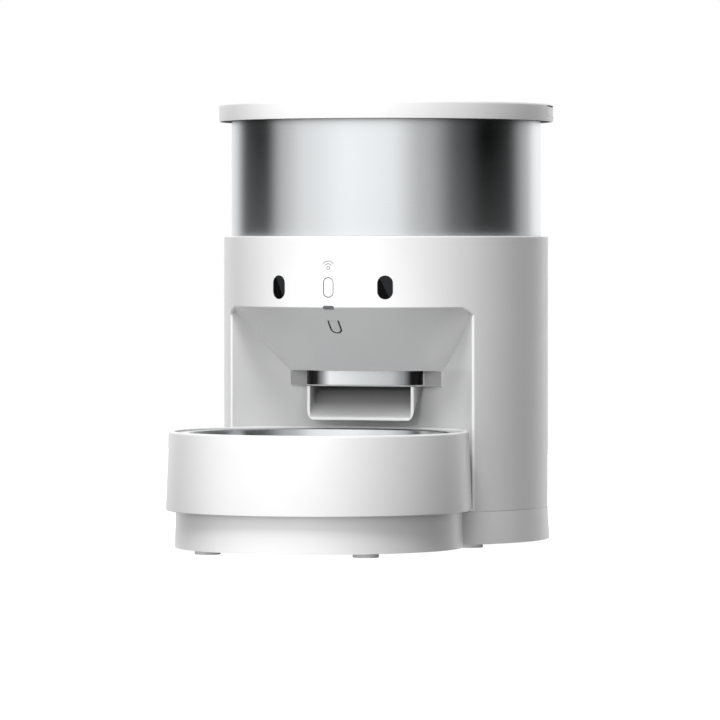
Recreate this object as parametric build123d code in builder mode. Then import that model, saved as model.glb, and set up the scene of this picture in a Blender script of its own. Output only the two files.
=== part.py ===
"""Automatic pet feeder: a steel food barrel standing in a round plastic body, a paddle wheel and gear
train that drop portions down a chute, and a steel bowl in a ring on a plinth in front.

Millimetres, +Z up, front towards -Y. The origin is on the floor, in the middle of the footprint.
"""

import os
from math import acos, cos, hypot, pi, radians, sin, sqrt, tan

from build123d import *

os.makedirs("parts", exist_ok=True)

# ------------------------------------------------------------------ driving dimensions
BODY_R = 110.0  # outer radius of the body shell
BARREL_R = 104.9  # outer radius of the steel barrel
LID_R = 113.3
RING_TOP_R = 98.5  # bowl ring, at its top edge
RING_FOOT_R = 100.8  # bowl ring, at its lower edge
PLINTH_TOP_R = 94.1
PLINTH_FOOT_R = 95.0
BASE_FOOT_R = 111.2  # the body's part of the base flares out to this
BOWL_OFFSET = 127.3  # from the body's axis forward to the bowl's axis
BODY_Y = (BOWL_OFFSET + RING_FOOT_R - LID_R) / 2
BOWL_Y = BODY_Y - BOWL_OFFSET
WALL = 2.6  # moulded wall thickness
GAP = 0.3  # between pieces that move past each other

FOOT_H = 3.0
BASE_TOP = 24.5  # seam between base and body shell
PLINTH_TOP = 27.0
RING_FOOT = 27.3
RING_TOP = 79.4
BODY_TOP = 207.5
LID_FOOT = 285.2
LID_TOP = 298.0

RECESS_R = 104.5  # bay in the body's front, round the bowl's axis
HOOD_TOP = 160.3  # the 45 degree hood leaves the body's face here
HOOD_FOOT = 117.5
HOOD_FOOT_R = BODY_R - (HOOD_TOP - HOOD_FOOT)
COLLAR_FOOT = 106.8
SPOUT_HALF = 41.2  # half width over the steel band
SPOUT_FRONT = 51.5  # band's face, forward of the body's axis
SHOULDER_HALF = 54.4
SHOULDER_FRONT = 39.5
BAND_T = 0.8
CHUTE_HALF = 38.1
CHUTE_FRONT = 50.0
CHUTE_LIP = 84.1
CHUTE_WALL = 2.0

WHEEL_R = 56.5  # paddle wheel
POCKET_R = 58.0
POCKET_FOOT = 120.5  # underside of the bin's floor
FUNNEL_FOOT = 142.0
FUNNEL_TOP = 185.0

CONTROL_Z = 173.6  # button and sensor windows
SENSOR_AZ = 20.0  # windows either side of the middle, degrees
WIFI_Z = 186.5

LATCH_AZ = 100.0  # middle of each lid latch, degrees round from the front
LATCH_HALF = 13.0

MODULE = 1.0
PRESSURE = 25.0  # gear pressure angle, degrees
BIG_TEETH = 30
SMALL_TEETH = 12
GEAR_PITCH = MODULE * (BIG_TEETH + SMALL_TEETH) / 2
DECK_TOP = 95.0


def save(part, name):
    """Labels a finished piece and writes it as one STEP file."""
    part.label = name
    export_step(part, f"parts/{name}.step")


def front(r, w=0.0, z=0.0):
    """The point w to the right and r forward of the body's axis, at height z."""
    return (w, BODY_Y - r, z)


def round_axis(azimuth, radius, z=0.0, centre=BODY_Y):
    """The point at that azimuth round from the front, towards +X, and radius from an axis."""
    a = radians(azimuth)
    return (radius * sin(a), centre - radius * cos(a), z)


def face_plane(azimuth, radius, z, drop=0.0):
    """Sketch plane on a round face: x runs round it, the normal points out, tilted down by drop."""
    a, d = radians(azimuth), radians(drop)
    out = (sin(a) * cos(d), -cos(a) * cos(d), -sin(d))
    return Plane(origin=round_axis(azimuth, radius, z), x_dir=(cos(a), sin(a), 0), z_dir=out)


def tube(outer, inner, foot, top, centre=BODY_Y):
    """A plain round tube about an axis."""
    with BuildPart() as made:
        with Locations((0, centre, (foot + top) / 2)):
            Cylinder(outer, top - foot)
            Cylinder(inner, top - foot, mode=Mode.SUBTRACT)
    return made.part


def disc(radius, foot, top, centre=BODY_Y):
    """A plain round disc or post about an axis."""
    with BuildPart() as made:
        with Locations((0, centre, (foot + top) / 2)):
            Cylinder(radius, top - foot)
    return made.part


def cone(foot_radius, top_radius, foot, top, centre=BODY_Y):
    """A frustum standing on an axis."""
    with BuildPart() as made:
        with Locations((0, centre, (foot + top) / 2)):
            Cone(foot_radius, top_radius, top - foot)
    return made.part


def rounded_front(half, front_r, back_r, corner):
    """Sketch outline: a rectangle across the front whose two forward corners are round."""
    y_front, y_back = BODY_Y - front_r, BODY_Y - back_r
    with BuildSketch() as outline:
        with BuildLine():
            Polyline((-half, y_front + corner), (-half, y_back), (half, y_back), (half, y_front + corner))
            RadiusArc((half, y_front + corner), (half - corner, y_front), corner)
            Line((half - corner, y_front), (-half + corner, y_front))
            RadiusArc((-half + corner, y_front), (-half, y_front + corner), corner)
        make_face()
    return outline.sketch


def screw(x, y, foot, length, shank=1.45, head=2.9, head_height=1.8):
    """A pan head screw, head down at height foot, shank up, with a cross recess."""
    with BuildPart() as made:
        with Locations((x, y, foot + head_height / 2)):
            Cylinder(head, head_height)
        with Locations((x, y, foot + head_height + length / 2)):
            Cylinder(shank, length)
        with Locations((x, y, foot + head_height * 0.3)):
            Box(head * 1.2, head * 0.25, head_height * 0.6, mode=Mode.SUBTRACT)
            Box(head * 0.25, head * 1.2, head_height * 0.6, mode=Mode.SUBTRACT)
    return made.part


# ------------------------------------------------------------------ body shell
COLLAR_CORNER = 13.0
COLLAR_BACK = 15.0  # the collar reaches back to here, inside the bay wall
SHOULDER_CORNER = 1.5
PASSAGE_CORNER = COLLAR_CORNER - 3
PASSAGE_HALF = 38.2
PASSAGE_FRONT = 48.6
RIM_ROUND = 0.8
SEAM = 0.4  # shadow groove where the body stands on the base
EDGE_ROUND = 1.5  # all along the edge of the bay's opening
OPENING_CORNER = 11.0  # upper corners of the bay's opening, seen from the front
OPENING_HALF = 86.34  # half width of the opening, 0.1 over what the bay itself cuts
SCREW_AZ = (70.0, 145.0, -145.0, -70.0)  # body screws round the axis
BOSS_CENTRE_R = 103.0

hood_lift = WALL * sqrt(2)  # the inner cone is the outer one raised by this
hood_inside = cone(
    HOOD_FOOT_R - hood_lift + WALL,
    HOOD_FOOT_R - hood_lift + WALL + 60,
    HOOD_FOOT + WALL,
    HOOD_FOOT + WALL + 60,
)

with BuildPart() as collar:
    with BuildSketch(Plane.XY.offset(COLLAR_FOOT)):
        add(rounded_front(SPOUT_HALF - BAND_T, SPOUT_FRONT - BAND_T, COLLAR_BACK, COLLAR_CORNER - BAND_T))
        add(rounded_front(SHOULDER_HALF, SHOULDER_FRONT, COLLAR_BACK, SHOULDER_CORNER))
    extrude(amount=HOOD_FOOT - COLLAR_FOOT)
    fillet(collar.faces().sort_by(Axis.Z)[0].edges(), 1.0)

with BuildPart() as bay_inside:
    add(disc(RECESS_R + WALL, BASE_TOP - 2, HOOD_TOP + 15, BOWL_Y))
    add(hood_inside, mode=Mode.SUBTRACT)

with BuildPart() as passage:
    with BuildSketch(Plane.XY.offset(COLLAR_FOOT - 1)):
        add(rounded_front(PASSAGE_HALF, PASSAGE_FRONT, 10, PASSAGE_CORNER))
    extrude(amount=HOOD_FOOT + WALL + 1 - COLLAR_FOOT + 1)
    add(disc(RECESS_R, COLLAR_FOOT - 2, HOOD_FOOT + WALL + 2, BOWL_Y), mode=Mode.INTERSECT)


def pill(plane, width, height, depth_in, depth_out=2.0):
    """A pill shaped prism on a plane, standing up, reaching in and out from it."""
    with BuildPart() as made:
        with BuildSketch(plane.offset(-depth_in)):
            if height > width:
                SlotOverall(height, width, rotation=90)
            else:
                SlotOverall(width, height)
        extrude(amount=depth_in + depth_out)
    return made.part


BUTTON_PLANE = face_plane(0, BODY_R, CONTROL_Z)
LENS_PLANE = face_plane(0, BODY_R - 0.35, HOOD_TOP - 0.15, 22.5)
TONGUE_Z = 147.2  # middle of the reset tongue on the hood
TONGUE_PLANE = face_plane(0, BODY_R - (HOOD_TOP - TONGUE_Z), TONGUE_Z, 45)
TONGUE_W = 5.9
TONGUE_L = 12.4
TONGUE_SLOT = 1.2


def tongue_prism(width, top, foot, depth=6.0):
    """Prism of the tongue's outline: square at its upper, hinge end and round at its lower end."""
    with BuildPart() as made:
        with BuildSketch(TONGUE_PLANE.offset(-depth)):
            with BuildLine():
                Polyline((-width / 2, foot + width / 2), (-width / 2, top), (width / 2, top),
                         (width / 2, foot + width / 2))
                RadiusArc((width / 2, foot + width / 2), (-width / 2, foot + width / 2), width / 2)
            make_face()
        extrude(amount=2 * depth)
    return made.part


def on_face(edge):
    """Whether an edge lies on the body's round face, below its rim and above its foot."""
    spots = [edge @ (n / 4) for n in range(5)]
    round_it = all(abs(hypot(p.X, p.Y - BODY_Y) - BODY_R) < 0.02 for p in spots)
    heights = [p.Z for p in spots]
    return round_it and BASE_TOP + 5 < max(heights) < HOOD_TOP + 5 and edge.center().Y < BODY_Y


OPENING_TOP = HOOD_TOP + 0.1
OPENING_FOOT = BASE_TOP - 3

with BuildPart() as bay:
    add(disc(RECESS_R, BASE_TOP - 1, HOOD_TOP + 10, BOWL_Y))
    add(cone(HOOD_FOOT_R, HOOD_FOOT_R + 60, HOOD_FOOT, HOOD_FOOT + 60), mode=Mode.SUBTRACT)
    with BuildSketch(Plane.XZ.offset(-BODY_Y)) as opening:
        with Locations((0, (OPENING_TOP + OPENING_FOOT) / 2)):
            Rectangle(2 * OPENING_HALF, OPENING_TOP - OPENING_FOOT)
        fillet(opening.vertices().group_by(Axis.Z)[-1], OPENING_CORNER)
    extrude(amount=2 * BODY_R, mode=Mode.INTERSECT)

with BuildPart() as body_blank:
    add(disc(BODY_R, BASE_TOP, BODY_TOP))
    add(bay.part, mode=Mode.SUBTRACT)
    fillet(body_blank.edges().filter_by(on_face), EDGE_ROUND)
    fillet(body_blank.faces().sort_by(Axis.Z)[-1].edges(), RIM_ROUND)
    add(tube(BODY_R + 1, BODY_R - SEAM, BASE_TOP - 1, BASE_TOP + SEAM), mode=Mode.SUBTRACT)
    add(collar.part)

LEDGE_TOP = 196.0  # the barrel and the bin stand on this
LEDGE_T = 3.0
LEDGE_IN_R = 98.0
MOUTH_R = BARREL_R + 0.3
WINDOW_W = 10.4
WINDOW_H = 15.8
BUTTON_W = 6.2
BUTTON_H = 12.4
RING_W = 7.4
RING_H = 13.6
LENS_W = 8.0
LENS_H = 2.8
BOSS_R = 5.0
PIN_HOLE = 1.45
INLET_Z = 45.0
INLET_R = 4.2


def post(x, y, foot, top, radius):
    """A round post anywhere on the plan."""
    with BuildPart() as made:
        with Locations((x, y, (foot + top) / 2)):
            Cylinder(radius, top - foot)
    return made.part


def mark_shape(depth_in, depth_out):
    """Wireless sign on the face: a small ring under two arcs."""
    plane = face_plane(0, BODY_R, WIFI_Z)
    with BuildPart() as made:
        with BuildSketch(plane.offset(-depth_in)):
            Circle(1.3)
            Circle(0.7, mode=Mode.SUBTRACT)
            for arc_r in (3.0, 4.8):
                with BuildSketch(mode=Mode.PRIVATE) as arc:
                    Circle(arc_r)
                    Circle(arc_r - 0.6, mode=Mode.SUBTRACT)
                    with BuildLine():
                        Polyline((0, 0), (-9, 6), (-9, -9), (9, -9), (9, 6), close=True)
                    make_face(mode=Mode.SUBTRACT)
                add(arc.sketch)
        extrude(amount=depth_in + depth_out)
    return made.part


with BuildPart() as body_shell:
    add(body_blank.part)
    add(disc(BODY_R - WALL, BASE_TOP - 1, LEDGE_TOP - LEDGE_T) - bay_inside.part, mode=Mode.SUBTRACT)
    add(disc(LEDGE_IN_R, LEDGE_TOP - LEDGE_T - 1, BODY_TOP + 1), mode=Mode.SUBTRACT)
    add(disc(MOUTH_R, LEDGE_TOP, BODY_TOP + 1), mode=Mode.SUBTRACT)
    add(passage.part, mode=Mode.SUBTRACT)
    for az in SCREW_AZ:
        bx, by, _ = round_axis(az, BOSS_CENTRE_R)
        add(post(bx, by, BASE_TOP, DECK_TOP - WALL, BOSS_R))
        add(post(bx, by, BASE_TOP - 1, DECK_TOP, PIN_HOLE), mode=Mode.SUBTRACT)
    for az in (-SENSOR_AZ, SENSOR_AZ):
        add(pill(face_plane(az, BODY_R, CONTROL_Z), WINDOW_W, WINDOW_H, 8), mode=Mode.SUBTRACT)
    add(pill(BUTTON_PLANE, RING_W, RING_H, 8), mode=Mode.SUBTRACT)
    add(pill(LENS_PLANE, LENS_W, LENS_H, 2.2), mode=Mode.SUBTRACT)
    add(mark_shape(0.8, 2), mode=Mode.SUBTRACT)
    add(tongue_prism(TONGUE_W + 2 * TONGUE_SLOT, TONGUE_L / 2, -TONGUE_L / 2), mode=Mode.SUBTRACT)
    inlet_hole = Plane(origin=front(-BODY_R - 5, 0, INLET_Z), z_dir=(0, -1, 0))
    with BuildSketch(inlet_hole):
        Circle(INLET_R)
    extrude(amount=12, mode=Mode.SUBTRACT)
save(body_shell.part, "body_shell")

# ------------------------------------------------------------------ base, cover, feet
PLATE_TOP = FOOT_H + WALL
RIB = 8.0
COVER_BOSSES = ((0, 205.0), (-76, 100.0), (76, 100.0), (-92, -18.0), (92, -18.0))
FEET = ((55.0, 186.0), (78.0, 49.0), (55.0, -75.0))
FOOT_R = 8.5
BOX_W = 92.0
BOX_NEAR, BOX_FAR = -20.0, -80.0
BOX_TOP = 37.0
DOOR_W, DOOR_LEN = 84.0, 54.0
DOOR_MID = (BOX_NEAR + BOX_FAR) / 2

with BuildPart() as base:
    add(cone(BASE_FOOT_R, BODY_R, FOOT_H, BASE_TOP))
    add(cone(PLINTH_FOOT_R, PLINTH_TOP_R, FOOT_H, PLINTH_TOP, BOWL_Y))
    add(disc(BODY_R - WALL, FOOT_H - 1, BASE_TOP - WALL), mode=Mode.SUBTRACT)
    add(disc(PLINTH_TOP_R - WALL, FOOT_H - 1, PLINTH_TOP - WALL, BOWL_Y), mode=Mode.SUBTRACT)
    add(
        disc(BODY_R - WALL, BASE_TOP - WALL - 1, BASE_TOP + 1)
        - disc(RECESS_R + WALL, BASE_TOP - WALL - 2, BASE_TOP + 2, BOWL_Y),
        mode=Mode.SUBTRACT,
    )
    for w, r in COVER_BOSSES[:3]:
        x, y, _ = front(r, w)
        add(post(x, y, PLATE_TOP, PLINTH_TOP - WALL / 2, RIB / 2))
    for az in SCREW_AZ:
        bx, by, _ = round_axis(az, BOSS_CENTRE_R)
        add(post(bx, by, 12, BASE_TOP, BOSS_R))
        add(post(bx, by, 5, BASE_TOP + 1, PIN_HOLE), mode=Mode.SUBTRACT)
    for w, r in COVER_BOSSES[:3]:
        x, y, _ = front(r, w)
        add(post(x, y, PLATE_TOP - 1, 20, PIN_HOLE), mode=Mode.SUBTRACT)
save(base.part, "base")

with BuildPart() as bottom_cover:
    add(disc(BODY_R - WALL - GAP, FOOT_H, PLATE_TOP))
    add(disc(PLINTH_TOP_R - WALL - GAP, FOOT_H, PLATE_TOP, BOWL_Y))
    for w, r in COVER_BOSSES[3:]:
        x, y, _ = front(r, w)
        add(post(x, y, PLATE_TOP, 18, RIB / 2))
    for w, r in COVER_BOSSES[:3]:
        x, y, _ = front(r, w)
        add(post(x, y, FOOT_H - 1, PLATE_TOP + 1, PIN_HOLE), mode=Mode.SUBTRACT)
        add(post(x, y, FOOT_H - 1, FOOT_H + 1.8, 3.2), mode=Mode.SUBTRACT)
    with Locations(front(DOOR_MID, 0, FOOT_H + WALL / 2)):
        Box(DOOR_W + 2 * GAP, DOOR_LEN + 2 * GAP, WALL * 2, mode=Mode.SUBTRACT)
save(bottom_cover.part, "bottom_cover")

with BuildPart() as cover_screws:
    for w, r in COVER_BOSSES[:3]:
        x, y, _ = front(r, w)
        add(screw(x, y, FOOT_H, 13.0))
save(cover_screws.part, "cover_screws")

with BuildPart() as body_screws:
    for az in SCREW_AZ:
        bx, by, _ = round_axis(az, BOSS_CENTRE_R)
        add(screw(bx, by, 10.2, 30.0))
save(body_screws.part, "body_screws")

with BuildPart() as rubber_feet:
    for w, r in FEET:
        for side in (-1, 1):
            x, y, _ = front(r, side * w)
            with Locations((x, y, FOOT_H / 2)):
                Cylinder(FOOT_R, FOOT_H)
    fillet(rubber_feet.faces().filter_by(Axis.Z).group_by(Axis.Z)[0].edges(), 0.8)
save(rubber_feet.part, "rubber_feet")

# ------------------------------------------------------------------ battery
CELL_R = 13.1
CELL_L = 50.0
CELL_Z = PLATE_TOP + 1.5 + CELL_R
CELL_STEP = 28.0

with BuildPart() as battery_box:
    with Locations(front(DOOR_MID, 0, (PLATE_TOP + BOX_TOP) / 2)):
        Box(BOX_W, BOX_NEAR - BOX_FAR, BOX_TOP - PLATE_TOP)
    with Locations(front(DOOR_MID, 0, (PLATE_TOP + BOX_TOP) / 2 - 2)):
        Box(BOX_W - 4, BOX_NEAR - BOX_FAR - 4, BOX_TOP - PLATE_TOP, mode=Mode.SUBTRACT)
save(battery_box.part, "battery_box")

with BuildPart() as battery_cells:
    for n in (-1, 0, 1):
        seat = Plane(origin=front(DOOR_MID + CELL_L / 2, n * CELL_STEP, CELL_Z), z_dir=(0, 1, 0))
        with BuildSketch(seat):
            Circle(CELL_R)
        extrude(amount=CELL_L - 1.5)
        with BuildSketch(seat.offset(CELL_L - 1.5)):
            Circle(3.0)
        extrude(amount=1.5)
save(battery_cells.part, "battery_cells")

with BuildPart() as battery_contacts:
    for n in (-1, 0, 1):
        for end in (-1, 1):
            with Locations(front(DOOR_MID + end * (CELL_L / 2 + 1.5), n * CELL_STEP, CELL_Z)):
                Box(12, 3, 14)
save(battery_contacts.part, "battery_contacts")

with BuildPart() as battery_door:
    with Locations(front(DOOR_MID, 0, FOOT_H + WALL / 2)):
        Box(DOOR_W, DOOR_LEN, WALL)
    for n in range(4):
        with Locations(front(DOOR_MID - DOOR_LEN / 2 + 5 + 2.5 * n, 0, FOOT_H)):
            Box(24, 1.0, 0.8, mode=Mode.SUBTRACT)
save(battery_door.part, "battery_door")

with BuildPart() as power_inlet:
    with Locations(front(-BODY_R + WALL + 7.6, 0, INLET_Z)):
        Box(11, 14, 11)
    collar_start = Plane(origin=front(-BODY_R - 0.4, 0, INLET_Z), z_dir=(0, -1, 0))
    with BuildSketch(collar_start):
        Circle(INLET_R - 0.1)
    extrude(amount=6)
    with BuildSketch(collar_start.offset(-1)):
        Circle(2.8)
        Circle(1.0, mode=Mode.SUBTRACT)
    extrude(amount=10, mode=Mode.SUBTRACT)
save(power_inlet.part, "power_inlet")

# ------------------------------------------------------------------ deck, motor, gear train
MOTOR_R = 13.5
MOTOR_FOOT = 58.0
MOTOR_SHAFT_R = 1.5
GEAR_FOOT, GEAR_TOP = 102.0, 109.0
HOUSING_TOP = 119.5
SHAFT_R = 4.0
SHAFT_TOP = 138.0
BUSH_R = 6.5
BUSH_RUN = 0.05
BOARD_FOOT = 100.0
BOARD_T = 1.6
BOARD_W, BOARD_LEN = 56.0, 32.0
BOARD_NEAR = -42.0
BOARD_PEGS = [
    (w, BOARD_NEAR - y) for w in (-BOARD_W / 2 + 4, BOARD_W / 2 - 4) for y in (4, BOARD_LEN - 4)
]


def gear(teeth, foot, top, bore, turn, centre_y):
    """An involute spur gear on a centre; turn is the angle of one tooth, in degrees."""
    pitch_r = MODULE * teeth / 2
    base_r = pitch_r * cos(radians(PRESSURE))
    root_r = pitch_r - 1.25 * MODULE
    tip_r = pitch_r + 0.95 * MODULE
    half = pi / (2 * teeth) - 0.09 / pitch_r
    at_pitch = tan(radians(PRESSURE)) - radians(PRESSURE)

    def flank(radius):
        """Half the tooth's angle at that radius, from the involute of the base circle."""
        a = acos(min(1.0, base_r / radius))
        return half + at_pitch - (tan(a) - a)

    low_r = max(root_r, base_r)
    radii = [low_r + (tip_r - low_r) * i / 4 for i in range(5)]
    points = []
    for n in range(teeth):
        mid = radians(turn) + 2 * pi * n / teeth
        rising = [(r, mid - flank(r)) for r in radii]
        falling = [(r, mid + flank(r)) for r in reversed(radii)]
        if low_r > root_r:
            rising.insert(0, (root_r, rising[0][1]))
            falling.append((root_r, falling[-1][1]))
        points += [(r * cos(a), r * sin(a)) for r, a in rising + falling]
    with BuildPart() as made:
        with BuildSketch(Plane((0, centre_y, foot))):
            with BuildLine():
                Polyline(*points, close=True)
            make_face()
            if bore:
                Circle(bore, mode=Mode.SUBTRACT)
        extrude(amount=top - foot)
    return made.part


with BuildPart() as deck:
    add(disc(BODY_R - WALL - GAP, DECK_TOP - WALL, DECK_TOP))
    add(disc(RECESS_R + WALL + GAP, DECK_TOP - WALL - 1, DECK_TOP + 1, BOWL_Y), mode=Mode.SUBTRACT)
    for w, r in BOARD_PEGS:
        x, y, _ = front(r, w)
        add(post(x, y, DECK_TOP, BOARD_FOOT, 2.6))
        add(post(x, y, BOARD_FOOT - 4, BOARD_FOOT + 1, 1.0), mode=Mode.SUBTRACT)
    for az in SCREW_AZ:
        bx, by, _ = round_axis(az, BOSS_CENTRE_R)
        add(post(bx, by, DECK_TOP - WALL - 1, DECK_TOP + 1, PIN_HOLE), mode=Mode.SUBTRACT)
    add(post(0, BODY_Y + GEAR_PITCH, DECK_TOP - 4, DECK_TOP + 1, 3.0), mode=Mode.SUBTRACT)
save(deck.part, "deck")


def upside_down(made, about_z):
    """Turns a screw over, about a level line at that height."""
    return mirror(made, Plane.XY.offset(about_z))


with BuildPart() as deck_screws:
    for az in SCREW_AZ:
        bx, by, _ = round_axis(az, BOSS_CENTRE_R)
        add(upside_down(screw(bx, by, DECK_TOP - 1.8, 12.0), DECK_TOP))
save(deck_screws.part, "deck_screws")

with BuildPart() as main_board:
    with Locations(front(BOARD_NEAR - BOARD_LEN / 2, 0, BOARD_FOOT + BOARD_T / 2)):
        Box(BOARD_W, BOARD_LEN, BOARD_T)
    for w, along, size in ((-8, 14, 10), (10, 18, 7)):
        with Locations(front(BOARD_NEAR - along, w, BOARD_FOOT + BOARD_T + 1)):
            Box(size, size, 2)
    for w, r in BOARD_PEGS:
        x, y, _ = front(r, w)
        add(post(x, y, BOARD_FOOT - 1, BOARD_FOOT + 3, 1.0), mode=Mode.SUBTRACT)
save(main_board.part, "main_board")

with BuildPart() as board_screws:
    for w, r in BOARD_PEGS:
        x, y, _ = front(r, w)
        top = BOARD_FOOT + BOARD_T
        add(upside_down(screw(x, y, top - 1.2, 4.6, 1.0, 1.9, 1.2), top))
save(board_screws.part, "board_screws")

with BuildPart() as motor:
    add(post(0, BODY_Y + GEAR_PITCH, MOTOR_FOOT, DECK_TOP - WALL, MOTOR_R))
    add(post(0, BODY_Y + GEAR_PITCH, MOTOR_FOOT - 2, MOTOR_FOOT, 4))
    add(post(0, BODY_Y + GEAR_PITCH, DECK_TOP - 20, DECK_TOP, MOTOR_SHAFT_R + 0.05), mode=Mode.SUBTRACT)
save(motor.part, "motor")

with BuildPart() as motor_pinion:
    add(gear(SMALL_TEETH, GEAR_FOOT, GEAR_TOP, 0, -90 + 180 / SMALL_TEETH, BODY_Y + GEAR_PITCH))
    add(post(0, BODY_Y + GEAR_PITCH, DECK_TOP - 19, GEAR_FOOT, MOTOR_SHAFT_R))
save(motor_pinion.part, "motor_pinion")

with BuildPart() as output_gear:
    add(gear(BIG_TEETH, GEAR_FOOT, GEAR_TOP, SHAFT_R, 90, BODY_Y))
save(output_gear.part, "output_gear")

with BuildPart() as output_shaft:
    add(disc(SHAFT_R, DECK_TOP + 0.5, SHAFT_TOP))
save(output_shaft.part, "output_shaft")

HOUSING_HALF = 19.5
HOUSING_MID = -6.6  # forward of the body's axis
HOUSING_LEN = 50.8
HOUSING_WALL = 1.8
with BuildPart() as gearbox_housing:
    with Locations(front(HOUSING_MID, 0, (DECK_TOP + HOUSING_TOP) / 2)):
        Box(2 * HOUSING_HALF, HOUSING_LEN, HOUSING_TOP - DECK_TOP)
    fillet(gearbox_housing.edges().filter_by(Axis.Z), 4)
    with Locations(front(HOUSING_MID, 0, (DECK_TOP + HOUSING_TOP) / 2 - 3)):
        Box(
            2 * (HOUSING_HALF - HOUSING_WALL), HOUSING_LEN - 2 * HOUSING_WALL, HOUSING_TOP - DECK_TOP,
            mode=Mode.SUBTRACT,
        )
    add(disc(BUSH_R, HOUSING_TOP - 6, HOUSING_TOP + 1), mode=Mode.SUBTRACT)
save(gearbox_housing.part, "gearbox_housing")

with BuildPart() as wheel_bush:
    add(tube(BUSH_R, SHAFT_R + BUSH_RUN, HOUSING_TOP - 4, HOUSING_TOP + 0.8))
save(wheel_bush.part, "wheel_bush")

# ------------------------------------------------------------------ food bin, barrel, paddle wheel
BIN_FLOOR = POCKET_FOOT + WALL
BIN_R = 97.4
BIN_FLANGE_R = 103.6
PADDLES = 6
BARREL_T = 0.8
BARREL_TOP = 291.5
GASKET_TOP = LEDGE_TOP + 1.0
OUTLET_MID = 35.5  # outlet in the bin's floor, over the chute
OUTLET_W, OUTLET_LEN = 66.0, 23.0

with BuildPart() as outlet:
    with Locations(front(OUTLET_MID, 0, POCKET_FOOT + 1)):
        Box(OUTLET_W, OUTLET_LEN, 2 * WALL + 2)
    add(disc(RECESS_R - 2.5, POCKET_FOOT - 10, POCKET_FOOT + 10, BOWL_Y), mode=Mode.INTERSECT)
    add(disc(POCKET_R - 3, POCKET_FOOT - 10, POCKET_FOOT + 10), mode=Mode.INTERSECT)

with BuildPart() as food_bin:
    with BuildSketch(Plane.XZ.offset(-BODY_Y)):
        with BuildLine():
            Polyline(
                (0, POCKET_FOOT),
                (POCKET_R + WALL, POCKET_FOOT),
                (POCKET_R + WALL, FUNNEL_FOOT),
                (BIN_R, FUNNEL_TOP),
                (BIN_R, LEDGE_TOP),
                (BIN_FLANGE_R, LEDGE_TOP),
                (BIN_FLANGE_R, LEDGE_TOP + WALL),
                (BIN_R - WALL, LEDGE_TOP + WALL),
                (BIN_R - WALL, FUNNEL_TOP + 1),
                (POCKET_R, FUNNEL_FOOT + 1),
                (POCKET_R, BIN_FLOOR),
                (0, BIN_FLOOR),
                close=True,
            )
        make_face()
    revolve(axis=Axis((0, BODY_Y, 0), (0, 0, 1)))
    add(outlet.part, mode=Mode.SUBTRACT)
    add(disc(BUSH_R + 0.3, POCKET_FOOT - 1, POCKET_FOOT + 0.8), mode=Mode.SUBTRACT)
    add(disc(SHAFT_R + 0.3, POCKET_FOOT - 1, BIN_FLOOR + 1), mode=Mode.SUBTRACT)
save(food_bin.part, "food_bin")

with BuildPart() as outlet_guard:
    with Locations(front(36, 0, FUNNEL_FOOT)):
        Box(84, 48, 1.6)
    add(disc(POCKET_R - 0.1, FUNNEL_FOOT - 2, FUNNEL_FOOT + 2), mode=Mode.INTERSECT)
save(outlet_guard.part, "outlet_guard")

with BuildPart() as barrel:
    add(tube(BARREL_R, BARREL_R - BARREL_T, GASKET_TOP, BARREL_TOP))
save(barrel.part, "barrel")
with BuildPart() as barrel_gasket:
    add(tube(BARREL_R + 0.2, BARREL_R - BARREL_T - 0.3, LEDGE_TOP, GASKET_TOP))
save(barrel_gasket.part, "barrel_gasket")

WHEEL_FOOT = BIN_FLOOR + 0.5
WHEEL_TOP = 140.0
VANE_R = 44.0
HUB_R = 9.0
STIRRER_R = 4.0
STIRRER_TOP = 162.0
ARM_Z = 152.0
ARM_R = 2.2
ARM_LEN = 40.0


def vanes(inner, outer, thick):
    """Equal flat vanes round the body's axis, from an inner to an outer radius."""
    with BuildPart() as made:
        for n in range(PADDLES):
            spoke = Plane((0, BODY_Y, WHEEL_FOOT)).rotated((0, 0, 30 + 360 * n / PADDLES))
            with BuildSketch(spoke):
                with Locations(((inner + outer) / 2, 0)):
                    Rectangle(outer - inner, thick)
            extrude(amount=WHEEL_TOP - WHEEL_FOOT)
    return made.part


with BuildPart() as paddle_hub:
    add(disc(HUB_R, WHEEL_FOOT, WHEEL_TOP))
    add(vanes(HUB_R - 1, VANE_R, 3.2))
    add(disc(SHAFT_R, WHEEL_FOOT - 1, SHAFT_TOP), mode=Mode.SUBTRACT)
save(paddle_hub.part, "paddle_hub")
save(vanes(VANE_R, WHEEL_R, 2.0), "paddle_tips")

with BuildPart() as stirrer:
    add(disc(STIRRER_R, WHEEL_TOP, STIRRER_TOP))
    for side in (-1, 1):
        arm = Plane(origin=front(0, side * STIRRER_R / 2, ARM_Z), z_dir=(side, 0, 0.35))
        with BuildSketch(arm):
            Circle(ARM_R)
        extrude(amount=ARM_LEN)
save(stirrer.part, "stirrer")

# ------------------------------------------------------------------ chute and steel band
CHUTE_BACK = 23.0
CHUTE_CORNER = 4.5
CHUTE_MOUTH_TOP = COLLAR_FOOT - 0.1
RAMP_T = CHUTE_WALL * sqrt(2)  # the 45 degree ramp's thickness, measured upright


def ramp_point(forward, lift=0.0):
    """A point of the chute's 45 degree underside in the side view, or that far above it."""
    return (BODY_Y - forward, CHUTE_LIP + CHUTE_FRONT - forward + lift)


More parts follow.
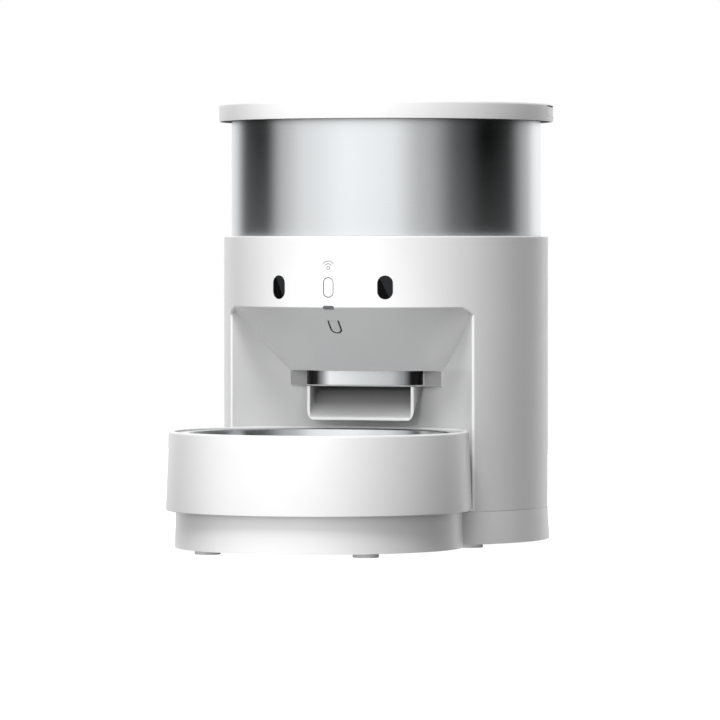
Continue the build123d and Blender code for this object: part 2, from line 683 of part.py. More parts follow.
def above_ramp(half, top, corner=0.0):
    """Everything over the chute's ramp up to a height, half wide each side; corners along the ramp."""
    back = max(CHUTE_BACK - 1, CHUTE_FRONT - (top - CHUTE_LIP - RAMP_T))
    ends = [(BODY_Y - back, top)]
    if back < CHUTE_BACK:
        ends.append(ramp_point(back, RAMP_T))
    with BuildPart() as made:
        with BuildSketch(Plane.YZ.offset(-half)):
            with BuildLine():
                Polyline(
                    ramp_point(CHUTE_FRONT + 3, RAMP_T),
                    (BODY_Y - CHUTE_FRONT - 3, top),
                    *ends,
                    close=True,
                )
            make_face()
        extrude(amount=2 * half)
        if corner:
            run = made.faces().sort_by(lambda f: f.normal_at().Z)[0].edges()
            fillet(run.filter_by(lambda e: abs(e.center().X) > half - 0.1), corner)
    return made.part


with BuildPart() as chute_hollow:
    with BuildSketch(Plane.XY.offset(CHUTE_LIP)):
        add(rounded_front(
            PASSAGE_HALF - CHUTE_WALL, PASSAGE_FRONT - CHUTE_WALL, CHUTE_BACK + CHUTE_WALL,
            PASSAGE_CORNER - CHUTE_WALL,
        ))
    extrude(amount=POCKET_FOOT - CHUTE_LIP)
    add(above_ramp(CHUTE_HALF, POCKET_FOOT + 20), mode=Mode.INTERSECT)
    add(above_ramp(CHUTE_HALF - CHUTE_WALL, CHUTE_MOUTH_TOP, CHUTE_CORNER - CHUTE_WALL + 0.2))

with BuildPart() as chute:
    with BuildSketch(Plane.YZ.offset(-CHUTE_HALF)):
        with BuildLine():
            Polyline(
                ramp_point(CHUTE_FRONT),
                (BODY_Y - CHUTE_FRONT, CHUTE_MOUTH_TOP),
                ramp_point(CHUTE_FRONT - CHUTE_MOUTH_TOP + CHUTE_LIP),
                close=True,
            )
        make_face()
    extrude(amount=2 * CHUTE_HALF)
    fillet(chute.edges().filter_by(GeomType.LINE).group_by(Edge.length)[-2].filter_by(
        lambda e: abs(e.center().X) > CHUTE_HALF - 1), CHUTE_CORNER)
    with BuildSketch(Plane.XY.offset(CHUTE_MOUTH_TOP)):
        add(rounded_front(PASSAGE_HALF, PASSAGE_FRONT, CHUTE_BACK, PASSAGE_CORNER))
    extrude(amount=POCKET_FOOT - 0.4 - CHUTE_MOUTH_TOP)
    add(chute_hollow.part, mode=Mode.SUBTRACT)
    add(disc(RECESS_R - GAP, CHUTE_LIP - 5, POCKET_FOOT + 5, BOWL_Y), mode=Mode.INTERSECT)
save(chute.part, "chute")

with BuildPart() as spout_band:
    with BuildSketch(Plane.XY.offset(COLLAR_FOOT + 1.1)):
        add(rounded_front(SPOUT_HALF, SPOUT_FRONT, SHOULDER_FRONT + 0.1, COLLAR_CORNER - 2.0))
        add(
            rounded_front(SPOUT_HALF - BAND_T, SPOUT_FRONT - BAND_T, 20, COLLAR_CORNER - BAND_T),
            mode=Mode.SUBTRACT,
        )
    extrude(amount=HOOD_FOOT - COLLAR_FOOT - 1.2)
save(spout_band.part, "spout_band")

# ------------------------------------------------------------------ front controls
skin = tube(BODY_R - 0.1, BODY_R - WALL - 0.4, 120, 200)
for side, name in ((-1, "sensor_window_left"), (1, "sensor_window_right")):
    with BuildPart() as window:
        add(pill(face_plane(side * SENSOR_AZ, BODY_R, CONTROL_Z), WINDOW_W - 0.2, WINDOW_H - 0.2, 8))
        add(skin, mode=Mode.INTERSECT)
    save(window.part, name)

with BuildPart() as sensor_modules:
    for az in (-SENSOR_AZ, SENSOR_AZ):
        block = face_plane(az, BODY_R - WALL - 1.0 - 8.0, CONTROL_Z)
        with BuildSketch(block):
            Rectangle(9.0, 14.0)
        extrude(amount=8.0)
save(sensor_modules.part, "sensor_modules")

with BuildPart() as button_ring:
    add(pill(BUTTON_PLANE, RING_W, RING_H, 8))
    add(pill(BUTTON_PLANE, BUTTON_W + 0.4, BUTTON_H + 0.4, 9), mode=Mode.SUBTRACT)
    add(tube(BODY_R + 0.05, BODY_R - WALL, 120, 200), mode=Mode.INTERSECT)
save(button_ring.part, "button_ring")

BUTTON_BACK = 104.0
with BuildPart() as feed_button:
    add(pill(BUTTON_PLANE, BUTTON_W, BUTTON_H, BODY_R - BUTTON_BACK))
    add(tube(BODY_R - 0.1, 90, 120, 200), mode=Mode.INTERSECT)
    add(pill(face_plane(0, BUTTON_BACK, CONTROL_Z), BUTTON_W + 3, BUTTON_H + 3, 0, 1.6))
save(feed_button.part, "feed_button")

PANEL_R = 94.4
PANEL_Z = 171.4
PANEL_W, PANEL_H = 55.0, 16.4
SWITCH_T = 4.4
with BuildPart() as control_board:
    with Locations(front(PANEL_R, 0, PANEL_Z)):
        Box(PANEL_W, BOARD_T, PANEL_H)
save(control_board.part, "control_board")
with BuildPart() as tact_switch:
    with Locations(front(PANEL_R + BOARD_T / 2 + SWITCH_T / 2, 0, CONTROL_Z)):
        Box(6, SWITCH_T, 6)
    nub = Plane(origin=front(PANEL_R + BOARD_T / 2 + SWITCH_T, 0, CONTROL_Z), z_dir=(0, -1, 0))
    with BuildSketch(nub):
        Circle(1.7)
    extrude(amount=3.2)
save(tact_switch.part, "tact_switch")

save(pill(LENS_PLANE, LENS_W - 0.1, LENS_H - 0.1, 2.2, 0.0), "indicator_lens")

with BuildPart() as wireless_mark:
    add(mark_shape(0.8, 2))
    add(disc(BODY_R - 0.05, 150, 200), mode=Mode.INTERSECT)
save(wireless_mark.part, "wireless_mark")

with BuildPart() as reset_tongue:
    add(tongue_prism(TONGUE_W, TONGUE_L / 2 - 0.2, -TONGUE_L / 2 + TONGUE_SLOT))
    slab = TONGUE_PLANE.offset(-1.8)
    with BuildSketch(slab):
        Rectangle(20, 30)
    extrude(amount=1.8, mode=Mode.INTERSECT)
    with BuildSketch(TONGUE_PLANE):
        with Locations((0, -TONGUE_L / 2 + TONGUE_SLOT + TONGUE_W / 2)):
            Circle(1.1)
            Circle(0.8, mode=Mode.SUBTRACT)
    extrude(amount=-0.3, mode=Mode.SUBTRACT)
save(reset_tongue.part, "reset_tongue")

# ------------------------------------------------------------------ bowl ring and bowl
PLATE_Z = RING_TOP - 2.0
FLANGE_R = 94.5
OPEN_R = 86.5
BOWL_FLOOR = 38.0
BOWL_T = 0.8


def turned(points):
    """Turns a closed outline of (radius, height) points round the bowl's axis."""
    with BuildPart() as made:
        with BuildSketch(Plane.XZ.offset(-BOWL_Y)):
            with BuildLine():
                Polyline(*points, close=True)
            make_face()
        revolve(axis=Axis((0, BOWL_Y, 0), (0, 0, 1)))
    return made.part


slope = (RING_FOOT_R - RING_TOP_R) / (RING_TOP - RING_FOOT)
save(
    turned(
        [
            (RING_FOOT_R, RING_FOOT),
            (RING_TOP_R, RING_TOP),
            (FLANGE_R + 0.5, RING_TOP),
            (FLANGE_R + 0.5, PLATE_Z),
            (OPEN_R + 1.6, PLATE_Z),
            (OPEN_R + 1.6, PLINTH_TOP),
            (OPEN_R + 4.2, PLINTH_TOP),
            (OPEN_R + 4.2, PLATE_Z - WALL),
            (RING_TOP_R - WALL + slope * WALL, PLATE_Z - WALL),
            (RING_FOOT_R - WALL, RING_FOOT),
        ]
    ),
    "bowl_ring",
)
save(
    turned(
        [
            (0, BOWL_FLOOR),
            (62, BOWL_FLOOR),
            (76, BOWL_FLOOR + 9),
            (OPEN_R + 0.8, RING_TOP - 2.0),
            (FLANGE_R, RING_TOP - 2.0),
            (FLANGE_R, RING_TOP - 1.2),
            (OPEN_R, RING_TOP - 1.2),
            (76 - BOWL_T, BOWL_FLOOR + 9 + BOWL_T / 2),
            (62 - BOWL_T / 2, BOWL_FLOOR + BOWL_T),
            (0, BOWL_FLOOR + BOWL_T),
        ]
    ),
    "bowl",
)

# ------------------------------------------------------------------ lid, its latches and drier
LID_T = 3.5
SKIRT = 2.5
LATCH_GAP = 0.4
LATCH_TOP = 295.0
LATCH_PIN_R = 0.6
LATCH_AXIS_R = 111.6
LATCH_AXIS_Z = 294.0
LINER_R = 103.4
SEAL_R = LID_R - 0.9  # the seal's flange covers the skirt's foot nearly to its edge
SEAL_FLANGE = 1.0
TRAY_R = 32.0
TRAY_FOOT = 281.0


def latch_wedge(half, foot, top, side):
    """A block across the lid's skirt at a latch, for cutting and for keeping."""
    spot = Plane(
        origin=round_axis(side * LATCH_AZ, LID_R - 8, foot),
        x_dir=(cos(radians(side * LATCH_AZ)), sin(radians(side * LATCH_AZ)), 0),
        z_dir=(0, 0, 1),
    )
    with BuildPart() as made:
        with BuildSketch(spot):
            Rectangle(2 * half, 30)
        extrude(amount=top - foot)
    return made.part


def latch_pin(radius, half, side):
    """The hinge pin of a latch, along the tangent of the lid."""
    a = radians(side * LATCH_AZ)
    start = round_axis(side * LATCH_AZ, LATCH_AXIS_R, LATCH_AXIS_Z)
    origin = (start[0] - half * cos(a), start[1] - half * sin(a), start[2])
    with BuildPart() as made:
        with BuildSketch(Plane(origin=origin, z_dir=(cos(a), sin(a), 0))):
            Circle(radius)
        extrude(amount=2 * half)
    return made.part


with BuildPart() as lid:
    add(disc(LID_R, LID_FOOT, LID_TOP))
    fillet(lid.faces().sort_by(Axis.Z)[-1].edges(), 2.0)
    add(disc(LID_R - SKIRT, LID_FOOT - 1, LID_TOP - LID_T), mode=Mode.SUBTRACT)
    add(disc(SEAL_R + 0.1, LID_FOOT - 1, LID_FOOT + SEAL_FLANGE), mode=Mode.SUBTRACT)
    for side in (-1, 1):
        cut = latch_wedge(LATCH_HALF + LATCH_GAP, LID_FOOT - 1, LATCH_TOP + 0.8, side)
        add(cut & tube(LID_R + 1, LID_R - SKIRT - 1, LID_FOOT - 1, LID_TOP), mode=Mode.SUBTRACT)
        add(latch_pin(LATCH_PIN_R, LATCH_HALF + 1.4, side), mode=Mode.SUBTRACT)
save(lid.part, "lid")

with BuildPart() as latch_pins:
    for side in (-1, 1):
        add(latch_pin(LATCH_PIN_R, LATCH_HALF + 1.4, side))
save(latch_pins.part, "latch_pins")

for side, name in ((-1, "latch_left"), (1, "latch_right")):
    with BuildPart() as latch:
        add(tube(LID_R, LID_R - SKIRT + 0.1, LID_FOOT, LATCH_TOP))
        add(latch_wedge(LATCH_HALF, LID_FOOT - 1, LATCH_TOP + 1, side), mode=Mode.INTERSECT)
        add(latch_pin(LATCH_PIN_R + 0.05, LATCH_HALF + 1, side), mode=Mode.SUBTRACT)
    save(latch.part, name)

with BuildPart() as lid_seal:
    add(tube(LID_R - SKIRT, BARREL_R + 0.4, LID_FOOT, LID_FOOT + 3.4))
    add(tube(SEAL_R, LID_R - SKIRT - 1, LID_FOOT, LID_FOOT + SEAL_FLANGE))
    for side in (-1, 1):
        cut = latch_wedge(LATCH_HALF + 1.5, LID_FOOT - 1, LID_TOP, side)
        add(cut & tube(LID_R, LID_R - SKIRT - 1.2, LID_FOOT - 1, LID_TOP), mode=Mode.SUBTRACT)
save(lid_seal.part, "lid_seal")

with BuildPart() as lid_liner:
    add(disc(LINER_R, LID_TOP - LID_T - 2.0, LID_TOP - LID_T))
    add(tube(LINER_R, LINER_R - 2.0, LID_FOOT - 1, LID_TOP - LID_T))
save(lid_liner.part, "lid_liner")

LINER_FOOT = LID_TOP - LID_T - 2.0
BAG_W, BAG_H = 36.0, 6.4
with BuildPart() as drier_tray:
    add(tube(TRAY_R, TRAY_R - 1.6, TRAY_FOOT, LINER_FOOT))
save(drier_tray.part, "drier_tray")
with BuildPart() as drier_bag:
    with Locations((0, BODY_Y, LINER_FOOT - BAG_H / 2 - 1)):
        Box(BAG_W, BAG_W, BAG_H)
    fillet(drier_bag.edges(), 2.8)
save(drier_bag.part, "drier_bag")
with BuildPart() as drier_cover:
    add(disc(TRAY_R + 2.0, TRAY_FOOT - 2.4, TRAY_FOOT - 0.3))
    add(tube(TRAY_R + 2.0, TRAY_R + 0.3, TRAY_FOOT - 1, TRAY_FOOT + 4))
    with Locations((0, BODY_Y, TRAY_FOOT - 1)):
        with PolarLocations(18, 12):
            Box(13, 2.2, 6, mode=Mode.SUBTRACT)
save(drier_cover.part, "drier_cover")
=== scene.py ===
"""Looks of an automatic pet feeder, built around its packed design and laid out as an add-on."""

from math import radians

import bmesh
import bpy
import numpy as np
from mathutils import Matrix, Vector


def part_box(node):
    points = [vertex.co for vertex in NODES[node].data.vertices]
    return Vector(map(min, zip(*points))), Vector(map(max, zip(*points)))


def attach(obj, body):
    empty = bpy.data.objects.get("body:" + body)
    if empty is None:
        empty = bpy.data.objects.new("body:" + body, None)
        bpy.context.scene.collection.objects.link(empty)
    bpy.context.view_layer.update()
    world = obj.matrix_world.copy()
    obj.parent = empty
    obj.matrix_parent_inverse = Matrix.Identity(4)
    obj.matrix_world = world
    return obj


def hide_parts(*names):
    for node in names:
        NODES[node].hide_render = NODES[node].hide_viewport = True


bl_info = {
    "name": "Pet feeder",
    "version": (1, 0, 0),
    "blender": (4, 5, 0),
    "location": "3D View > Sidebar > Feeder",
    "description": "Finishes the shell, barrel, bowl and inner works of an automatic pet feeder",
    "category": "Object",
}

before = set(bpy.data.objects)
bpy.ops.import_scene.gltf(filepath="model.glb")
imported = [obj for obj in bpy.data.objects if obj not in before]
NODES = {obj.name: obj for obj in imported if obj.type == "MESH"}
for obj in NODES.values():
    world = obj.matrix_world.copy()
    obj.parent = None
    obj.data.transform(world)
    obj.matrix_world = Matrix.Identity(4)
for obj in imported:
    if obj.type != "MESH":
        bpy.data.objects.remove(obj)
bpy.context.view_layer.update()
MM = 0.001


def node_box(name):
    """Lowest and highest corners of a design node, as arrays in metres."""
    low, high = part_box(name)
    return np.array(low), np.array(high)


BARREL_LOW, BARREL_HIGH = node_box("barrel")
LID_LOW, LID_HIGH = node_box("lid")
RING_LOW, RING_HIGH = node_box("bowl_ring")
BOWL_LOW, BOWL_HIGH = node_box("bowl")
BODY_HIGH = node_box("body_shell")[1]
BODY_AXIS = ((LID_LOW + LID_HIGH) / 2)[:2]
BOWL_AXIS = ((RING_LOW + RING_HIGH) / 2)[:2]
BARREL_R = float(BARREL_HIGH[0])
LID_R = float(LID_HIGH[0])
RING_FOOT_R = float(RING_HIGH[0])
FLANGE_R = float(BOWL_HIGH[0])

# Sizes in millimetres from here on, unless a comment says otherwise.
FACET_SLOPE = 2.2  # rise over run of the slanted inner edge where the windows' painted reflection stops
CHUTE_DEPTH = 30.0  # over which the chute's throat is painted darker, as painted shade
CHUTE_EDGE = 1.9  # width of the chute's lip painted white, a painted highlight
BARREL_SHEET = 0.8
HEM_WIDE, HEM_DEEP = 2.0, 2.2  # rolled hem at the barrel's top
LID_WALL, LID_SHEET = 2.5, 3.5
LATCH_AZ = np.radians(100.0)
LATCH_HALF = 13.0
LATCH_GAP = 0.4
LATCH_TOP = 295.0
LATCH_HEADROOM = 0.8
LATCH_WALL = 2.4
GROOVE_DEEP = 0.35  # finger groove along a latch
SEAL_INSET = 0.85  # the seal's edge lies this far inside the lid's skirt
SEAL_STEP = 1.05
RING_FLARE = 2.3
RING_WALL = 2.6
LEDGE_DROP, LEDGE_WIDE = 2.0, 6.9  # the bowl's ledge inside the ring
SEAT_PLAY = 0.5
BOWL_SHEET = 0.8
BOWL_FLANGE = 8.0
FLOOR_RISE = 1.2  # of the bowl's floor at its middle
TONGUE_HALF = 2.95
TONGUE_TOP, TONGUE_BEND = 6.0, -2.05  # along the hood, up from the tongue's middle
TONGUE_SLOT = 1.2
TONGUE_Z = 147.2
HOOD_DROP = 13.1  # below the hood's upper edge
# Painted shade: the black sheet in the tongue's slot sits this far below the hood.
SLOT_SHADE_SUNK = 0.3
SHOULDER_Y = 39.5  # face of the shoulders, forward of the body's axis
SHOULDER_SPAN = (42.2, 54.0)
SHOULDER_FOOT, SHOULDER_TOP = 107.3, 116.9
THIN = 0.3  # thickness of the black sheet painting the slot's shade and of the grey sheets painting the shoulders' shade


# ------------------------------------------------------------------ colours and nodes
def linear(code):
    """Linear colour of an sRGB hex code: each channel raised by the sRGB curve."""
    channels = [int(code[i:i + 2], 16) / 255 for i in (1, 3, 5)]
    bent = [c / 12.92 if c <= 0.04045 else ((c + 0.055) / 1.055) ** 2.4 for c in channels]
    return (*bent, 1.0)


def add_node(tree, kind, settings=None, into=None, out=0, **inputs):
    """Adds one node: properties, inputs by name or _number, and its output linked into a socket."""
    node = tree.nodes.new(kind)
    for key, value in (settings or {}).items():
        setattr(node, key, value)
    for key, value in inputs.items():
        socket = node.inputs[int(key[1:])] if key[0] == "_" else node.inputs[key.replace("__", " ")]
        if isinstance(value, bpy.types.NodeSocket):
            tree.links.new(value, socket)
        else:
            socket.default_value = value
    if into is not None:
        tree.links.new(node.outputs[out], into)
    return node


def span(start, end, low, high):
    """Inputs that carry start to end over to low to high."""
    return {"From__Min": start, "From__Max": end, "To__Min": low, "To__Max": high}


def new_material(name, colour, roughness, metallic=0.0, **extra):
    """A Principled material; returns it with its tree and shader."""
    material = bpy.data.materials.new(name)
    material.use_nodes = True
    tree = material.node_tree
    shader = tree.nodes["Principled BSDF"]
    shader.inputs["Base Color"].default_value = linear(colour)
    shader.inputs["Roughness"].default_value = roughness
    shader.inputs["Metallic"].default_value = metallic
    for key, value in extra.items():
        shader.inputs[key.replace("__", " ")].default_value = value
    return material, tree, shader


def grain(tree, size_mm, stretch=(1, 1, 1), detail=3.0, roughness=0.6):
    """Noise on Object coordinates whose features are size_mm across; returns its Fac socket."""
    place = add_node(tree, "ShaderNodeTexCoord")
    scale = tuple(s / (size_mm * MM) for s in stretch)
    mapping = add_node(tree, "ShaderNodeMapping", Vector=place.outputs["Object"], Scale=scale)
    noise = add_node(
        tree, "ShaderNodeTexNoise", Vector=mapping.outputs["Vector"],
        Scale=1.0, Detail=detail, Roughness=roughness,
    )
    return noise.outputs["Fac"]


COLOUR = {"data_type": "RGBA"}


def moulded(name, colour, shade, roughness, spark_mm=0.35, depth_mm=0.004, **extra):
    """Injection-moulded plastic: an even colour, a spark-eroded texture, and a faint slow drift."""
    material, tree, shader = new_material(name, colour, roughness, **extra)
    add_node(
        tree, "ShaderNodeMix", COLOUR, shader.inputs["Base Color"], 2,
        _0=grain(tree, 60, detail=2), _6=linear(shade), _7=linear(colour),
    )
    add_node(
        tree, "ShaderNodeMapRange", into=shader.inputs["Roughness"], Value=grain(tree, 9, detail=4),
        **span(0.3, 0.7, roughness - 0.04, roughness + 0.05),
    )
    add_node(
        tree, "ShaderNodeBump", into=shader.inputs["Normal"],
        Height=grain(tree, spark_mm, detail=2), Distance=depth_mm * MM,
    )
    return material


def abs_white(colour):
    """Satin white ABS: the soft broad highlight of a fine-textured mould."""
    return moulded(
        "ABS_satin_white", colour, "#e0e0e0", 0.34, Specular__IOR__Level=0.8,
        Coat__Weight=0.8, Coat__Roughness=0.32, Coat__IOR=1.6,
    )


def polypropylene_liner():
    """Food-grade polypropylene: milky, a little light goes through it."""
    return moulded("Polypropylene_milky", "#dfe1e1", "#d6d9da", 0.42, Subsurface__Weight=0.08)


def abs_dark():
    """Dark grey ABS of the parts that face the floor or the inside."""
    return moulded("ABS_dark_grey", "#54565a", "#4a4c50", 0.5, spark_mm=0.5, depth_mm=0.01)


def acetal_white():
    """Machined-looking white acetal of the wheel and gears, waxy and slick."""
    return moulded("Acetal_natural", "#dcdcd8", "#d2d2ce", 0.32, spark_mm=0.8, depth_mm=0.003)


def brushed_stainless(name, roughness, line_mm, along=(1, 1, 400)):
    """Stainless steel brushed round its axis: fine lines, and highlights drawn out across them."""
    material, tree, shader = new_material(name, "#d8dadc", roughness, 1.0, Anisotropic=0.8)
    lines = grain(tree, line_mm * 400, stretch=along, detail=5, roughness=0.75)
    add_node(
        tree, "ShaderNodeMix", COLOUR, shader.inputs["Base Color"], 2,
        _0=lines, _6=linear("#d3d6d8"), _7=linear("#dddfe1"),
    )
    add_node(
        tree, "ShaderNodeMapRange", into=shader.inputs["Roughness"], Value=lines,
        **span(0.3, 0.7, roughness - 0.02, roughness + 0.03),
    )
    add_node(
        tree, "ShaderNodeBump", into=shader.inputs["Normal"],
        Height=lines, Distance=0.0015 * MM, Strength=0.3,
    )
    shader.inputs["Anisotropic Rotation"].default_value = 0.25
    add_node(
        tree, "ShaderNodeTangent", {"direction_type": "RADIAL", "axis": "Z"}, shader.inputs["Tangent"],
    )
    return material


def foot_haze(material, foot, top, share):
    """A thin clear film at a steel part's foot, none at its top; both heights in metres."""
    tree = material.node_tree
    add_node(
        tree, "ShaderNodeMapRange", into=tree.nodes["Principled BSDF"].inputs["Metallic"],
        Value=along(tree, "Z", foot, top), **span(0.0, 1.0, 1.0 - share, 1.0),
    )


def lay_bands(ramp, bands, blend="LINEAR"):
    """Lays linear colours at spots along a colour ramp, blended between."""
    ramp.interpolation = blend
    while len(ramp.elements) > 1:
        ramp.elements.remove(ramp.elements[-1])
    for n, (spot, colour) in enumerate(bands):
        element = ramp.elements[0] if n == 0 else ramp.elements.new(spot)
        element.position = spot
        element.color = colour


def along(tree, axis, start, end):
    """Share from 0 to 1 of the way between two places on an Object axis, in metres."""
    place = add_node(tree, "ShaderNodeTexCoord")
    split = add_node(tree, "ShaderNodeSeparateXYZ", Vector=place.outputs["Object"])
    share = add_node(
        tree, "ShaderNodeMapRange", Value=split.outputs[axis],
        **span(float(start), float(end), 0.0, 1.0),
    )
    return share.outputs["Result"]


def band_painted_reflections():
    """Polished steel strip with painted reflections, one band of colour across X: its two tight bends
    painted near black, its face painted light grey at the left and darker towards the right.
    """
    material, tree, shader = new_material("Stainless_polished_band", "#d8dadc", 0.22, 1.0)
    low, high = node_box("spout_band")
    # Painted reflections across the band: near black at both bends, brightest near the left of the face,
    # darker grey towards the right.
    bands = (
        (0.0, "#1b1b1c"), (0.13, "#222223"), (0.18, "#848586"), (0.24, "#d4d6d8"), (0.5, "#bfc1c3"),
        (0.78, "#a9abad"), (0.88, "#7c7d7f"), (0.94, "#262627"), (1.0, "#202021"),
    )
    ramp = add_node(
        tree, "ShaderNodeValToRGB", into=shader.inputs["Base Color"],
        Fac=along(tree, "X", low[0], high[0]),
    )
    lay_bands(ramp.color_ramp, [(spot, linear(code)) for spot, code in bands])
    add_node(
        tree, "ShaderNodeBump", into=shader.inputs["Normal"],
        Height=grain(tree, 3.0, stretch=(1, 1, 12)), Distance=0.002 * MM, Strength=0.4,
    )
    return material


def chute_painted_light():
    """Chute: a lip of even width painted bright white as a painted highlight, and a grey satin throat
    painted darker as it rises, as painted shade.
    """
    material = moulded("ABS_chute", "#b4b4b4", "#adadad", 0.4)
    tree = material.node_tree
    shader = tree.nodes["Principled BSDF"]
    low, high = node_box("chute")
    # Painted shade: light grey at the chute's front, darkening to near black CHUTE_DEPTH further back.
    painted_shade_stops = ((0.0, "#cfcfcf"), (0.3, "#8c8c8c"), (1.0, "#4c4c4c"))
    throat = add_node(
        tree, "ShaderNodeValToRGB", Fac=along(tree, "Y", low[1], low[1] + CHUTE_DEPTH * MM),
    )
    lay_bands(throat.color_ramp, [(spot, linear(code)) for spot, code in painted_shade_stops])
    # Mask of the front lip, CHUTE_EDGE wide, that is painted white as a painted highlight.
    behind = along(tree, "Y", low[1] + 0.5 * MM, low[1] + 1.0 * MM)
    above = along(tree, "Z", low[2] + CHUTE_EDGE * MM, low[2] + (CHUTE_EDGE + 0.2) * MM)
    left = along(tree, "X", low[0] + CHUTE_EDGE * MM, low[0] + (CHUTE_EDGE + 0.2) * MM)
    right = along(tree, "X", high[0] - CHUTE_EDGE * MM, high[0] - (CHUTE_EDGE + 0.2) * MM)
    within = add_node(tree, "ShaderNodeMath", {"operation": "MULTIPLY"}, _0=left, _1=right)
    inner = add_node(tree, "ShaderNodeMath", {"operation": "MULTIPLY"}, _0=above, _1=within.outputs[0])
    plain = add_node(tree, "ShaderNodeMath", {"operation": "MAXIMUM"}, _0=behind, _1=inner.outputs[0])
    add_node(
        tree, "ShaderNodeMix", COLOUR, shader.inputs["Base Color"], 2,
        _0=plain.outputs[0], _6=linear("#ffffff"), _7=throat.outputs["Color"],
    )
    return material


def plated(name, colour, roughness, streak_mm=2.0):
    """Bright plated metal with faint uneven polish."""
    material, tree, shader = new_material(name, colour, roughness, 1.0)
    polish = grain(tree, streak_mm, detail=4)
    add_node(
        tree, "ShaderNodeMapRange", into=shader.inputs["Roughness"], Value=polish,
        **span(0.3, 0.7, roughness - 0.03, roughness + 0.08),
    )
    add_node(
        tree, "ShaderNodeBump", into=shader.inputs["Normal"],
        Height=polish, Distance=0.002 * MM, Strength=0.4,
    )
    return material


def rubber(name, colour, shade):
    """Soft rubber or silicone: matt, with a dusty bloom."""
    return moulded(name, colour, shade, 0.68, spark_mm=0.4, depth_mm=0.012)


def infrared_window():
    """Dyed acrylic: near black, polished, with a painted reflection: a lighter grey on one side of a
    slanted inner edge, near black on the other.
    """
    material, tree, shader = new_material(
        "Acrylic_infrared_black", "#030303", 0.15, Specular__IOR__Level=0.05,
    )
    place = add_node(tree, "ShaderNodeTexCoord")
    split = add_node(tree, "ShaderNodeSeparateXYZ", Vector=place.outputs["Object"])
    low, high = node_box("sensor_window_right")
    middle = (low + high) / 2
    away = add_node(tree, "ShaderNodeMath", {"operation": "ABSOLUTE"}, _0=split.outputs["X"])
    sign = add_node(tree, "ShaderNodeMath", {"operation": "SIGN"}, _0=split.outputs["X"])
    side = add_node(
        tree, "ShaderNodeMath", {"operation": "SUBTRACT"}, _0=away.outputs[0], _1=float(middle[0]),
    )
    right = add_node(
        tree, "ShaderNodeMath", {"operation": "MULTIPLY"}, _0=side.outputs[0], _1=sign.outputs[0],
    )
    rise = add_node(
        tree, "ShaderNodeMath", {"operation": "SUBTRACT"}, _0=split.outputs["Z"], _1=float(middle[2]),
    )
    slanted = add_node(
        tree, "ShaderNodeMath", {"operation": "MULTIPLY_ADD"},
        _0=right.outputs[0], _1=FACET_SLOPE, _2=rise.outputs[0],
    )
    edge = add_node(
        tree, "ShaderNodeMapRange", Value=slanted.outputs[0], **span(-0.0002, 0.0003, 0.0, 1.0),
    )
    # Painted reflection: #242527 on one side of the slanted edge, #030303 on the other.
    add_node(
        tree, "ShaderNodeMix", COLOUR, shader.inputs["Base Color"], 2,
        _0=edge.outputs["Result"], _6=linear("#030303"), _7=linear("#242527"),
    )
    return material


def solder_mask():
    """Circuit board: green lacquer over slightly raised copper tracks."""
    material, tree, shader = new_material("Solder_mask_green", "#12522f", 0.3)
    place = add_node(tree, "ShaderNodeTexCoord")
    cells = add_node(
        tree, "ShaderNodeTexVoronoi", {"feature": "DISTANCE_TO_EDGE", "distance": "CHEBYCHEV"},
        Vector=place.outputs["Object"], Scale=1 / (4 * MM),
    )
    tracks = add_node(
        tree, "ShaderNodeMapRange", Value=cells.outputs["Distance"], **span(0.04, 0.07, 1.0, 0.0),
    ).outputs["Result"]
    add_node(
        tree, "ShaderNodeMix", COLOUR, shader.inputs["Base Color"], 2,
        _0=tracks, _6=linear("#12522f"), _7=linear("#2a7d4c"),
    )
    add_node(
        tree, "ShaderNodeBump", into=shader.inputs["Normal"], Height=tracks, Distance=0.03 * MM,
    )
    return material


def cell_jacket():
    """Shrink-wrapped cell: a dark film."""
    return moulded("Film_cell_jacket", "#33363c", "#2a2c31", 0.25, spark_mm=1.5, depth_mm=0.01)


def nonwoven_paper():
    """Nonwoven drier bag: random short fibres."""
    material, tree, shader = new_material("Nonwoven_white", "#e8e8e2", 0.85)
    fibres = grain(tree, 1.2, stretch=(1, 4, 1), detail=8, roughness=0.8)
    add_node(
        tree, "ShaderNodeMix", COLOUR, shader.inputs["Base Color"], 2,
        _0=fibres, _6=linear("#dcdcd4"), _7=linear("#efefe9"),
    )
    add_node(
        tree, "ShaderNodeBump", into=shader.inputs["Normal"], Height=fibres, Distance=0.08 * MM,
    )
    return material


# ------------------------------------------------------------------ meshes
def arc_corners(points, steps=6):
    """Rounds an outline: each (x, y, radius) corner becomes an arc tangent to its two sides."""
    flat = np.array([p[:2] for p in points], float)
    made = []
    for i, (x, y, *rest) in enumerate(points):
        radius = rest[0] if rest else 0.0
        here = flat[i]
        if radius <= 0:
            made.append(here)
            continue
        back = flat[i - 1] - here
        on = flat[(i + 1) % len(flat)] - here
        back = back / np.linalg.norm(back)
        on = on / np.linalg.norm(on)
        half = np.arccos(np.clip(back @ on, -1, 1)) / 2
        middle = (back + on) / np.linalg.norm(back + on)
        centre = here + middle * radius / np.sin(half)
        start = here + back * radius / np.tan(half) - centre
        end = here + on * radius / np.tan(half) - centre
        blend = np.linspace(0, 1, steps)[:, None]
        spread = start * (1 - blend) + end * blend
        made.extend(centre + radius * spread / np.linalg.norm(spread, axis=1)[:, None])
    return np.array(made)


